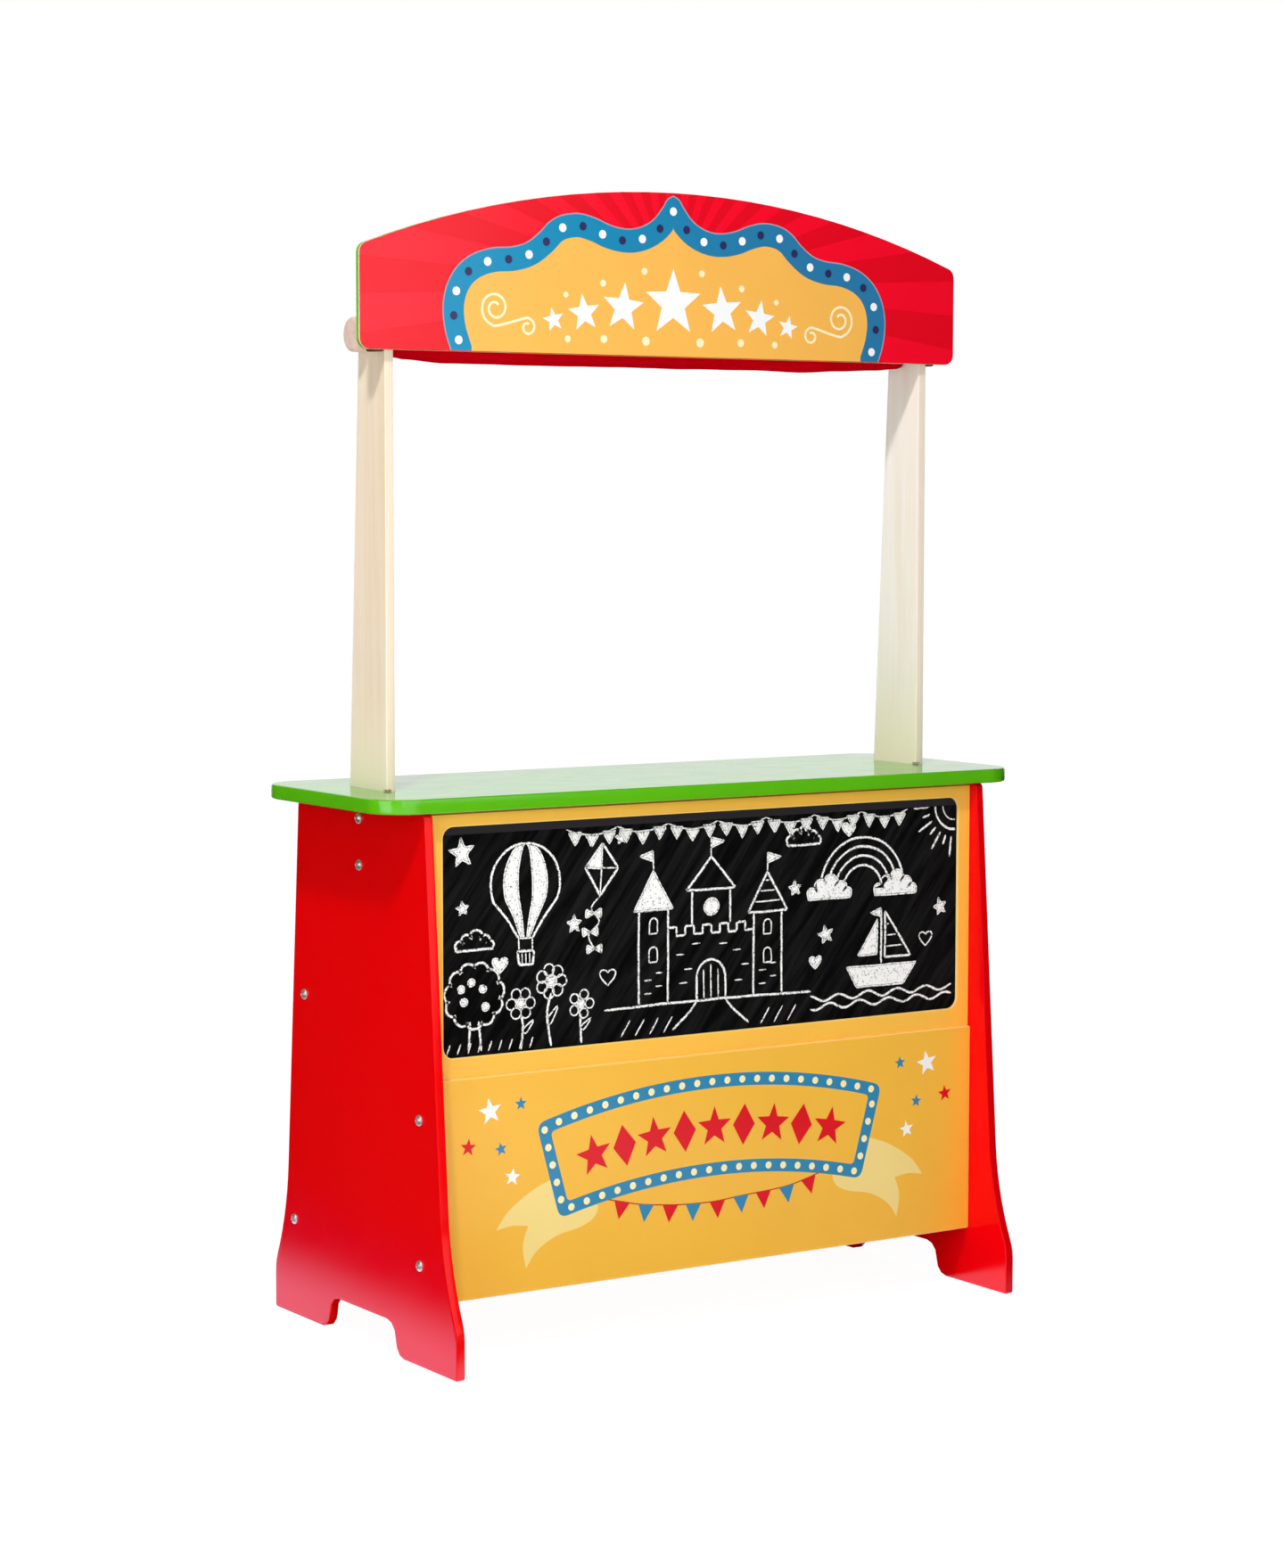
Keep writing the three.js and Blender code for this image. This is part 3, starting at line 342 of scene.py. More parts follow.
def rim_finish():
    """The lower front's own board: pale where it shows round the print, a painted highlight on its edges,
    and yellow behind.
    """
    paint = Finish("board_rim", RIM_ROUGHNESS)
    behind = paint.math("GREATER_THAN", paint.axis("Y", paint.normal), RIM_FACING)
    return paint.done(paint.mix(behind, BOARD_RIM_HIGHLIGHT, BOARD_YELLOW))


def sunburst(name, rim=None):
    """The sign's red print, with rays of two near reds from a point low on the sign, and paler towards the
    left: a painted highlight. A rim colour shows on what doesn't face the front."""
    paint = Finish(name, PRINT_ROUGHNESS)
    x, z = (paint.axis(axis, paint.place) for axis in "XZ")
    angle = paint.math("ARCTAN2", x, paint.math("SUBTRACT", z, RAY_CENTRE_Z))
    wave = paint.math("SINE", paint.times(angle, RAY_PAIRS))
    # Painted highlight: the red grows paler towards the sign's left end
    light = paint.mix(paint.between(x, sign_low[0], 0.0), SIGN_RED_HIGHLIGHT_LEFT, SIGN_RED)
    tone = paint.mix(paint.between(wave, -RAY_SOFTNESS, RAY_SOFTNESS), light, SIGN_RED_DEEP)
    if rim:
        tone = paint.mix(paint.ahead(SIGN_AHEAD), rim, tone)
    return paint.done(tone, paint.noise(*PEEL), PEEL_DEPTH)


def band_blue():
    """The sign's blue band, paler towards the left: a painted highlight."""
    paint = Finish("ink_band_blue", PRINT_ROUGHNESS)
    across = paint.between(paint.axis("X", paint.place), sign_low[0] / 2, sign_high[0] / 2)
    return paint.done(paint.mix(across, BAND_BLUE_HIGHLIGHT_LEFT, BAND_BLUE_RIGHT))


# Wood

BIRCH_ROUGHNESS = 0.42
BIRCH_DEPTH = 0.05 * MM
PLIES = 7.0
PLY_FACING = 0.5
PLY_WEIGHT = 0.65
FIGURE_WEIGHT, FIBRE_WEIGHT = 0.6, 0.4
# Painted light: the heights over which the uprights' faces turn paler towards the counter
UPRIGHT_FOOT_PAINTED_LIGHT = (570 * MM, 690 * MM)
FOOT_PAINTED_LIGHT_SHARE = 0.9
GLUE_WIDTH = 0.12
GLUE_SHARE = 0.75
GLUE_SINKS = -0.4
BEECH_DEPTH = 0.04 * MM
TURNED_ROUGHNESS = 0.4
DOWEL_ROUGHNESS = 0.65


def plywood(node, along, layers, tones, foot=None):
    """Lacquered birch plywood: long fibres and a soft figure on the faces, glued layers on the edges.
    along is the fibres' axis, layers the axis through the board, and foot a height's range over which
    the face is painted paler downwards, as painted light from the counter below."""
    wood = Finish("birch_" + node, BIRCH_ROUGHNESS)
    pale, warm = tones
    fibre = wood.fibres(along, *PLY_FIBRE)
    figure = wood.between(wood.fibres(along, *PLY_FIGURE), *FIGURE_RANGE)
    grain = wood.weighed((figure, FIGURE_WEIGHT), (wood.between(fibre, *SOFT), FIBRE_WEIGHT))
    face = wood.mix(grain, pale, warm)
    # Painted light: paler towards the foot, where the counter throws light up
    if foot:
        painted_foot_light = wood.between(wood.axis("Z", wood.place), *foot, FOOT_PAINTED_LIGHT_SHARE, 0.0)
        face = wood.mix(painted_foot_light, face, BIRCH_FOOT_PAINTED_LIGHT)
    near, far = sorted(abs(corner["XYZ".index(layers)]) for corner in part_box(node))
    depth = wood.math("ABSOLUTE", wood.axis(layers, wood.place))
    ply = wood.node("MapRange", {0: depth, 1: near, 2: far, 3: 0.0, 4: PLIES}, clamp=False)
    crosswise = wood.math("GREATER_THAN", wood.math("MODULO", ply, 2.0), 1.0)
    ply_tone = wood.times(crosswise, wood.between(wood.noise(*END_GRAIN), *PLY_RANGE))
    layered = wood.mix(wood.times(ply_tone, PLY_WEIGHT), BIRCH_EDGE, warm)
    glued = wood.between(wood.math("PINGPONG", ply, 0.5), 0.0, GLUE_WIDTH, GLUE_SHARE, 0.0)
    edge = wood.mix(glued, layered, BIRCH_GLUE)
    relief = wood.weighed((fibre, 1.0), (glued, GLUE_SINKS))
    return wood.done(wood.mix(wood.facing(layers, PLY_FACING), edge, face), relief, BIRCH_DEPTH)


def beech(name, pale, roughness):
    """Turned or bare beech, with fibres along X and short dark flecks."""
    wood = Finish(name, roughness)
    fibre, rings, specks = (wood.fibres("X", *look) for look in (BEECH_FIBRE, BEECH_RINGS, BEECH_SPECKS))
    grain = wood.weighed((wood.between(rings, *SOFT), FIGURE_WEIGHT),
                         (wood.between(fibre, *SOFT), FIBRE_WEIGHT))
    toned = wood.mix(grain, pale, BEECH_WARM)
    return wood.done(wood.mix(wood.between(specks, *FLECK_RANGE), toned, BEECH_FLECK), fibre, BEECH_DEPTH)


# Chalkboard, chalk, metal, plastic and cloth

BOARD_ROUGHNESS = 0.66
BOARD_DEPTH = 0.02 * MM
HEAD_STRIP_Z = 530.5 * MM
WIPE_ACROSS = 90.0
WIPE_ALONG = 7.0
WIPE_RISE = 0.8
WIPE_RUN = 0.6
CHALK_ROUGHNESS = 0.85
CHALK_DEPTH = 0.05 * MM
CHALK_EDGE_WEIGHT, CHALK_GRAIN_WEIGHT = 0.72, 0.9
NICKEL_ROUGHNESS = 0.34
BRACKET_ROUGHNESS = 0.48
BRACKET_DEPTH = 0.05 * MM
CLOTH_ROUGHNESS = 0.92
CLOTH_WEIGHT = 0.4
WEAVE_PITCH = 0.55 * MM
WEAVE_DEPTH = 0.12 * MM


def chalkboard_finish():
    """Matt board paint with faint grey wipes of old chalk dust, which rise to the right."""
    paint = Finish("chalkboard_paint", BOARD_ROUGHNESS, Specular_IOR_Level=0.02)
    x, z = (paint.axis(axis, paint.scattered) for axis in "XZ")
    across = paint.weighed((x, WIPE_ACROSS * WIPE_RISE), (z, -WIPE_ACROSS * WIPE_RUN))
    along = paint.weighed((x, WIPE_ALONG * WIPE_RUN), (z, WIPE_ALONG * WIPE_RISE))
    lay = paint.node("CombineXYZ", {0: across, 2: along})
    share = paint.times(paint.between(paint.noise(*WIPES, vector=lay), *WIPE_RANGE),
                        paint.between(paint.noise(*DUST), *DUST_RANGE))
    head = paint.math("GREATER_THAN", paint.axis("Z", paint.place), HEAD_STRIP_Z)
    tone = paint.mix(head, paint.mix(share, CHALKBOARD, CHALK_DUST), HEAD_STRIP)
    return paint.done(tone, paint.noise(*BOARD_TOOTH), BOARD_DEPTH)


def chalk_finish():
    """Chalk on the board: full in a stroke's middle, and grainy where the edge value rises to 1."""
    chalk = Finish("chalk", CHALK_ROUGHNESS, Specular_IOR_Level=0.2)
    edge = chalk.node("Attribute", {}, "Fac", attribute_name="edge")
    grain = chalk.noise(*CHALK_GRAIN)
    gaps = chalk.between(chalk.noise(*CHALK_GAPS), *GAP_RANGE)
    bare = chalk.weighed((edge, CHALK_EDGE_WEIGHT), (grain, CHALK_GRAIN_WEIGHT), (gaps, 1.0))
    tone = chalk.mix(chalk.between(bare, *BARE_RANGE), CHALK_WHITE, CHALKBOARD)
    return chalk.done(tone, grain, CHALK_DEPTH)


def nickel_finish():
    metal = Finish("nickel_plate", NICKEL_ROUGHNESS, Metallic=0.8)
    metal.set("Roughness", metal.between(metal.noise(*NICKEL_HAZE), *NICKEL_RANGE))
    return metal.done(metal.mix(metal.noise(*NICKEL_SMEAR), NICKEL, NICKEL_DULL))


def bracket_finish():
    plastic = Finish("bracket_plastic", BRACKET_ROUGHNESS)
    mottled = plastic.noise(*MOTTLE)
    return plastic.done(plastic.mix(mottled, BRACKET_BROWN, BRACKET_DARK), mottled, BRACKET_DEPTH)


def cloth_finish():
    """Plain woven cotton: warp along the roller and weft round it, by the cloth's own coordinates."""
    cloth = Finish("curtain_cotton", CLOTH_ROUGHNESS, Specular_IOR_Level=0.0)
    lay = cloth.node("UVMap", {}, uv_map="cloth")
    warp, weft = (cloth.math("SINE", cloth.times(cloth.axis(axis, lay), TAU / WEAVE_PITCH))
                  for axis in "XY")
    thread = cloth.times(warp, weft)
    broad = cloth.between(cloth.noise(*CLOTH_BROAD), *SOFT)
    slub = cloth.fibres("X", *CLOTH_SLUB)
    tone = cloth.weighed((broad, CLOTH_WEIGHT), (slub, CLOTH_WEIGHT),
                         (cloth.between(thread, *THREAD_RANGE), 1.0))
    return cloth.done(cloth.mix(tone, CLOTH_DEEP, CLOTH_RED), thread, WEAVE_DEPTH)


# The CAD nodes: welded, smoothed between their sharp edges, and finished

SHARP_DEG = 38
WELD_REACH = 0.001 * MM
nickel = nickel_finish()
beech_turned = beech("turned_beech", BEECH_PALE, TURNED_ROUGHNESS)
beech_dowel = beech("dowel_beech", DOWEL_TONE, DOWEL_ROUGHNESS)
bracket_brown = bracket_finish()


def split_arrises(piece, sharp_deg):
    split = piece.modifiers.new("arris", "EDGE_SPLIT")
    split.split_angle = math.radians(sharp_deg)
    split.use_edge_sharp = False


def dress(node, finish):
    piece = frame["nodes"][node]
    mesh = piece.data
    if "custom_normal" in mesh.attributes:
        mesh.attributes.remove(mesh.attributes["custom_normal"])
    mesh.polygons.foreach_set("use_smooth", [True] * len(mesh.polygons))
    weld = piece.modifiers.new("weld", "WELD")
    weld.merge_threshold = WELD_REACH
    split_arrises(piece, SHARP_DEG)
    even = piece.modifiers.new("even", "WEIGHTED_NORMAL")
    even.keep_sharp = True
    mesh.materials.clear()
    mesh.materials.append(finish)


finishes = {
    "side_panel_left": side_finish("left", PANEL_RED, PANEL_RED, LEFT_MIRROR),
    # The right panel's face is painted lighter and its front edge painted darker
    "side_panel_right": side_finish("right", PANEL_RED_RIGHT_LIT, PANEL_EDGE_RIGHT_SHADED, RIGHT_MIRROR),
    # The uprights' birch is painted darker on the left and lighter on the right
    "upright_left": plywood("upright_left", "Z", "X", LEFT_BIRCH_SHADED, UPRIGHT_FOOT_PAINTED_LIGHT),
    "upright_right": plywood("upright_right", "Z", "X", RIGHT_BIRCH_LIT, UPRIGHT_FOOT_PAINTED_LIGHT),
    "counter_top": lacquer("counter_green_lacquer", COUNTER_GREEN, COUNTER_ROUGHNESS,
                           Coat_Weight=0.2, Coat_Roughness=0.08),
    "upper_front_panel": front_finish(),
    "lower_front_panel": rim_finish(),
    "chalkboard": chalkboard_finish(),
    "middle_shelf": plywood("middle_shelf", "X", "Z", SHELF_BIRCH),
    "bottom_shelf": plywood("bottom_shelf", "X", "Z", SHELF_BIRCH),
    "sign_face": sunburst("sign_red_print", SIGN_CREAM_EDGE),
    "sign_backing": lacquer("backing_green_lacquer", SIGN_GREEN, BACKING_ROUGHNESS),
    "sign_bracket_left": bracket_brown,
    "sign_bracket_right": bracket_brown,
}
for node in frame["nodes"]:
    if "dowel" in node:
        finishes[node] = beech_dowel
    elif "barrel_nut" in node or "screw" in node:
        finishes[node] = nickel
for node, finish in finishes.items():
    dress(node, finish)


# Outlines on a board's face, as lists of (x, z) in millimetres

CURVE_STEPS = 8
CIRCLE_STEPS = 24
STAR_POINTS = 5
STAR_WAIST = 0.42
SAME_POINT_MM = 0.001
TINY = 1e-9


def polar(centre, radius, degrees):
    angle = math.radians(degrees)
    return (centre[0] + radius * math.cos(angle), centre[1] + radius * math.sin(angle))


def arc(centre, radius, from_deg, to_deg, steps=CIRCLE_STEPS, last_radius=None):
    """Points along an arc, or along a spiral where it ends at another radius."""
    growth = (last_radius or radius) - radius
    return [polar(centre, radius + growth * i / steps, from_deg + (to_deg - from_deg) * i / steps)
            for i in range(steps + 1)]


def disc(centre, radius, steps=CIRCLE_STEPS):
    return arc(centre, radius, 0, 360, steps)[:-1]


def star(centre, radius, tilt_deg=0.0, points=STAR_POINTS, waist=STAR_WAIST):
    reaches = (radius, radius * waist)
    return [polar(centre, reaches[i % 2], 90 + tilt_deg + 180 * i / points) for i in range(2 * points)]


def rounded_box(low, high, radius):
    """A rectangle from its low to its high corner, with round corners."""
    (left, foot), (right, top) = low, high
    corners = ((right - radius, foot + radius), (right - radius, top - radius),
               (left + radius, top - radius), (left + radius, foot + radius))
    return [point for i, corner in enumerate(corners)
            for point in arc(corner, radius, 90 * i - 90, 90 * i, CURVE_STEPS)]


def curve(points, steps=CURVE_STEPS, closed=False):
    """A smooth line through a few points."""
    count = len(points)
    line = []
    for i in range(count if closed else count - 1):
        a, b, c, d = (points[(i + k) % count if closed else min(max(i + k, 0), count - 1)]
                      for k in (-1, 0, 1, 2))
        for t in (j / steps for j in range(steps)):
            line.append(tuple(
                0.5 * (2 * b[k] + (c[k] - a[k]) * t + (2 * a[k] - 5 * b[k] + 4 * c[k] - d[k]) * t ** 2
                       + (3 * b[k] - a[k] - 3 * c[k] + d[k]) * t ** 3) for k in (0, 1)))
    return line if closed else line + [points[-1]]


def bend(start, corner, end, steps=6):
    """A rounded corner from start to end, drawn towards the corner."""
    return [tuple((1 - t) ** 2 * a + 2 * t * (1 - t) * b + t ** 2 * c
                  for a, b, c in zip(start, corner, end)) for t in (i / steps for i in range(steps + 1))]


def lengths(line):
    """The distance along a line at each of its points."""
    along = [0.0]
    for (ax, az), (bx, bz) in zip(line, line[1:]):
        along.append(along[-1] + math.hypot(bx - ax, bz - az))
    return along


def spaced(line, count):
    """count + 1 points at equal distances along a line."""
    along = lengths(line)
    places, i = [], 0
    for n in range(count + 1):
        target = along[-1] * n / count
        while i < len(line) - 2 and along[i + 1] < target:
            i += 1
        share = (target - along[i]) / max(along[i + 1] - along[i], TINY)
        (ax, az), (bx, bz) = line[i], line[i + 1]
        places.append((ax + (bx - ax) * share, az + (bz - az) * share))
    return places


def sideways(line, i):
    """The unit vector to the left of a line at its point i."""
    (ax, az), (bx, bz) = line[max(i - 1, 0)], line[min(i + 1, len(line) - 1)]
    size = math.hypot(bx - ax, bz - az) or 1.0
    return (-(bz - az) / size, (bx - ax) / size)


def shifted(line, reach):
    """A line moved to its left by reach."""
    sides = [sideways(line, i) for i in range(len(line))]
    return [(x + u * reach, z + v * reach) for (x, z), (u, v) in zip(line, sides)]


def stripe(line, width):
    """The closed outline of a line of some width."""
    return shifted(line, width / 2) + shifted(line, -width / 2)[::-1]


def mirrored(outline):
    return [(-x, z) for x, z in outline[::-1]]


def inside(x, z, outline):
    """Whether a point lies inside a closed outline."""
    odd = False
    ax, az = outline[-1]
    for bx, bz in outline:
        if (az > z) != (bz > z) and x < ax + (bx - ax) * (z - az) / (bz - az):
            odd = not odd
        ax, az = bx, bz
    return odd


def middle_of(cell, points):
    return (sum(points[i][k] for i in cell) / len(cell) for k in (0, 1))


# New pieces, and printed faces

PRINT_LIFT = 0.03 * MM
inks = {name: lacquer("ink_" + name, screen(*colour), PRINT_ROUGHNESS, INK_SHADE)
        for name, colour in INK_COLOURS.items()}
inks["sunburst"] = sunburst("ink_sunburst")
inks["band_blue"] = band_blue()


def new_piece(name, points, faces, body, materials, face_materials=None, smooth=False):
    mesh = bpy.data.meshes.new(name)
    mesh.from_pydata(points, [], faces)
    for material in materials:
        mesh.materials.append(material)
    if face_materials:
        mesh.polygons.foreach_set("material_index", face_materials)
    mesh.polygons.foreach_set("use_smooth", [smooth] * len(mesh.polygons))
    mesh.update()
    piece = bpy.data.objects.new(name, mesh)
    bpy.context.collection.objects.link(piece)
    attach(piece, body)
    return piece


def printed_face(name, face_y, base, regions):
    """A board's printed face as one flat mesh. base and each region are (outline, ink), and a later
    region lies over an earlier one. What reaches past the base is cut off, and a region without ink
    is a hole."""
    layers = [base] + regions
    points, edges = [], []
    for outline, _ in layers:
        first, count = len(points), len(outline)
        edges.extend((first + i, first + (i + 1) % count) for i in range(count))
        points.extend(Vector(point) for point in outline)
    flat, _, cells, *_ = delaunay_2d_cdt(points, edges, [], 0, SAME_POINT_MM)
    boxes = [(min(x for x, _ in o), max(x for x, _ in o), min(z for _, z in o), max(z for _, z in o))
             for o, _ in layers]
    kept, tones, used_inks = [], [], []
    for cell in cells:
        x, z = middle_of(cell, flat)
        if not inside(x, z, base[0]):
            continue
        for (outline, ink), (left, right, foot, top) in zip(reversed(layers), reversed(boxes)):
            if left <= x <= right and foot <= z <= top and inside(x, z, outline):
                break
        if ink is None:
            continue
        if ink not in used_inks:
            used_inks.append(ink)
        kept.append(cell)
        tones.append(used_inks.index(ink))
    used = sorted({i for cell in kept for i in cell})
    order = {old: new for new, old in enumerate(used)}
    placed = [(flat[i][0] * MM, face_y - PRINT_LIFT, flat[i][1] * MM) for i in used]
    faces = [[order[i] for i in cell] for cell in kept]
    return new_piece(name, placed, faces, STAND, [inks[ink] for ink in used_inks], tones)


def both_sides(outline, ink):
    """A region and its mirror image."""
    return [(outline, ink), (mirrored(outline), ink)]


# The sign's print: a sunburst, a scalloped marquee band with bulbs, and stars on a yellow plaque

SIGN_EDGE = 0.9
SIGN_CORNER = 11.0
SIGN_ARCH_RISE = 67.9
SIGN_ARCH_STEPS = 48
BAND_HALF = [
    (0.0, 1176.0), (6.8, 1172.5), (12.9, 1163.8), (24.9, 1150.6), (40.6, 1142.4), (57.6, 1139.7),
    (77.0, 1142.5), (96.6, 1149.3), (116.3, 1153.0), (136.2, 1150.4), (151.2, 1143.1), (163.7, 1131.5),
    (178.9, 1121.0), (196.6, 1116.0), (216.9, 1114.3), (234.9, 1109.9), (250.3, 1102.3), (263.3, 1090.4),
    (272.6, 1073.3), (276.2, 1052.9), (273.6, 1030.3), (266.0, 1008.0),
]
BAND_WIDTH = 22.8
BAND_RIM_WIDTH = 1.3
BULB_R = 4.4
BULB_APEX_Z = 1161.0
BULB_FOOT_Z = 1021.0
SIGN_BULBS = 14

# Spirals: centre, first radius, first and last degree, steps and last radius

SCROLL = [((-216.0, 1055.0), 4.5, 40, 640, 22, 18.0), ((-178.0, 1036.5), 9.5, 110, -300, 15, 3.5)]
SCROLL_WIDTH = 2.6
SCROLL_STEPS = 4

# Stars of x, z, radius and tilt in degrees, and dots of x, z and radius, with their mirror images

BIG_STAR_PLACE = (0.0, 1066.0)
BIG_STAR_R = 36.0
SIGN_STARS = [(62.0, 1060.0, 26.0, 5.0), (110.0, 1053.0, 20.0, -8.0), (147.0, 1045.0, 13.0, -12.0)]
SIGN_DOTS = [(130.0, 1026.0, 3.6), (86.0, 1027.0, 4.2), (34.0, 1026.0, 4.8), (87.0, 1084.0, 3.6),
             (36.0, 1098.0, 3.6), (132.0, 1071.0, 3.0)]


def sign_outline(inset):
    """The sign's outline, inset from its real edge: a flat foot, upright ends and an arched top."""
    half, foot, top = sign_high[0] / MM, sign_low[2] / MM, sign_high[2] / MM
    arch_r = (half ** 2 + SIGN_ARCH_RISE ** 2) / (2 * SIGN_ARCH_RISE)
    arch_z = top - arch_r
    corner_x = half - SIGN_CORNER
    corner_z = arch_z + math.sqrt((arch_r - SIGN_CORNER) ** 2 - corner_x ** 2)
    corner_deg = math.degrees(math.atan2(corner_z - arch_z, corner_x))
    right = arc((corner_x, foot + SIGN_CORNER), SIGN_CORNER - inset, -90, 0, CURVE_STEPS)
    right += arc((corner_x, corner_z), SIGN_CORNER - inset, 0, corner_deg, CURVE_STEPS)
    arch = arc((0, arch_z), arch_r - inset, corner_deg, 180 - corner_deg, SIGN_ARCH_STEPS)
    return right + arch[1:-1] + mirrored(right)


def whole(half, foot_z):
    """Closes a line down the right half, from the middle, with its mirror image."""
    right = [(x, z) for x, z in half if x >= 0]
    if right[0][0] > 0:
        right.insert(0, (0.0, 2 * right[0][1] - right[1][1]))
    right.append((right[-1][0], foot_z))
    return right + mirrored(right)[:-1]


def sign_print():
    foot = sign_low[2] / MM - SIGN_EDGE
    band = curve(BAND_HALF)
    inner = shifted(band, -BAND_WIDTH)
    regions = [(whole(shifted(band, BAND_RIM_WIDTH), foot), "band_rim"), (whole(band, foot), "band_blue"),
               (whole(shifted(inner, -BAND_RIM_WIDTH / 2), foot), "plaque_yellow")]
    middle = [(x, z) for x, z in shifted(band, -BAND_WIDTH / 2) if x >= 0 and z >= BULB_FOOT_Z]
    middle[0] = (0.0, BULB_APEX_Z)
    apex, *bulbs = spaced(middle, SIGN_BULBS)
    regions.append((disc(apex, BULB_R), "white"))
    for i, place in enumerate(bulbs):
        regions += both_sides(disc(place, BULB_R), "white" if i % 2 else "navy")
    scroll = curve([point for spiral in SCROLL for point in arc(*spiral)], SCROLL_STEPS)
    regions += both_sides(stripe(scroll, SCROLL_WIDTH), "cream")
    regions.append((star(BIG_STAR_PLACE, BIG_STAR_R), "white"))
    for x, z, radius, tilt in SIGN_STARS:
        regions += both_sides(star((x, z), radius, tilt), "white")
    for x, z, radius in SIGN_DOTS:
        regions += both_sides(disc((x, z), radius), "cream")
    printed_face("sign_print", sign_low[1], (sign_outline(SIGN_EDGE), "sunburst"), regions)


sign_print()


# The lower panel's print: a curved marquee frame with bulbs, on a ribbon, over a line of pennants

lower_low, lower_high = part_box("lower_front_panel")
FRONT_EDGE = 1.2
FRONT_CORNER = 2.0
FRAME_APEX_Z = 263.5
FRAME_ARCH_R = 790.0
FRAME_FOOT_Z = 157.0
FRAME_FOOT_R = 768.0
FRAME_SIDE_TOP = (217.8, 232.0)
FRAME_SIDE_FOOT = (191.8, 137.0)
FRAME_CORNER_R = 11.0
FRAME_BORDER = 13.8
FRAME_BULB_GAP = 19.0
FRAME_BULB = ((4.35, "bulb_ring"), (3.9, "bulb_cream"), (1.9, "bulb_heart"))
LINE_STEPS = 36
RIBBON = [
    [(-188.0, 178.0), (-200.3, 174.5), (-218.7, 167.7), (-238.1, 156.8), (-253.1, 145.5), (-265.9, 129.3)],
    [(-265.9, 129.3), (-246.7, 132.1), (-227.8, 129.6)],
    [(-227.8, 129.6), (-232.8, 118.0), (-234.3, 105.1), (-230.7, 86.0)],
    [(-230.7, 86.0), (-221.0, 99.8), (-208.0, 109.5), (-190.6, 116.8), (-166.5, 121.5), (-151.1, 128.2),
     (-144.5, 137.9), (-146.0, 150.0)],
]
RIBBON_RIGHT_SHIFT = 9.0
BUNTING = [
    (-132.3, 146.3), (-113.4, 141.6), (-91.1, 136.6), (-57.2, 132.2), (-34.4, 130.4), (0.0, 129.5),
    (31.6, 131.7), (76.3, 134.2), (98.9, 136.7), (121.6, 141.8), (139.9, 147.0),
]
BUNTING_WIDTH = 1.3
BUNTING_STEPS = 200
PENNANTS = 9
PENNANT_HALF = 9.8
PENNANT_DROP = 18.6
PENNANT_FIRST_SHARE = 0.067
PENNANT_LAST_SHARE = 0.932
LOWER_STARS = [
    (-272.3, 251.1, 14.0, 8, "white"), (-236.3, 255.6, 7.5, 0, "blue"), (-297.8, 216.9, 9.5, -6, "red"),
    (-259.7, 211.6, 7.5, 10, "blue"), (-246.4, 181.9, 9.5, -8, "white"), (243.2, 254.5, 7.5, 4, "blue"),
    (279.8, 251.3, 14.0, 10, "white"), (304.8, 215.5, 9.5, 6, "red"), (265.6, 210.6, 7.5, -6, "blue"),
    (252.6, 181.0, 9.5, 8, "white"),
]
EMBLEM_ARCH_R = 780.0
EMBLEM_Z = 208.5
EMBLEM_STEP_DEG = 2.75
EMBLEM_HALF_H = 22.0
EMBLEM_HALF_W = 14.0
EMBLEM_HALF_COUNT = 4


def marquee_frame(inset, corner_r):
    """The closed outline of the marquee frame at an inset, its corners rounded: two arcs about the
    middle line, and a straight side between them."""
    (ax, az), (bx, bz) = FRAME_SIDE_TOP, FRAME_SIDE_FOOT
    size = math.hypot(ax - bx, az - bz)
    u, v = (ax - bx) / size, (az - bz) / size
    lines, corners = [], []
    for centre_z, radius in ((FRAME_APEX_Z - FRAME_ARCH_R, FRAME_ARCH_R - inset),
                             (FRAME_FOOT_Z - FRAME_FOOT_R, FRAME_FOOT_R + inset)):
        x, z = bx - v * inset, bz + u * inset - centre_z
        back = x * u + z * v
        run = math.sqrt(back ** 2 - x ** 2 - z ** 2 + radius ** 2) - back
        x, z = x + u * run, z + v * run
        start = math.degrees(math.atan2(z, x) + corner_r / radius)
        lines.append(arc((0, centre_z), radius, start, 180 - start, LINE_STEPS))
        corners.append((x, z + centre_z))
    top, foot = lines[0], lines[1][::-1]
    (tx, tz), (fx, fz) = corners
    right_foot = bend(foot[-1], (fx, fz), (fx + u * corner_r, fz + v * corner_r))
    right_top = bend((tx - u * corner_r, tz - v * corner_r), (tx, tz), top[0])
    return top + mirrored(right_top)[1:] + mirrored(right_foot) + foot[1:] + right_foot[1:] + right_top[:-1]


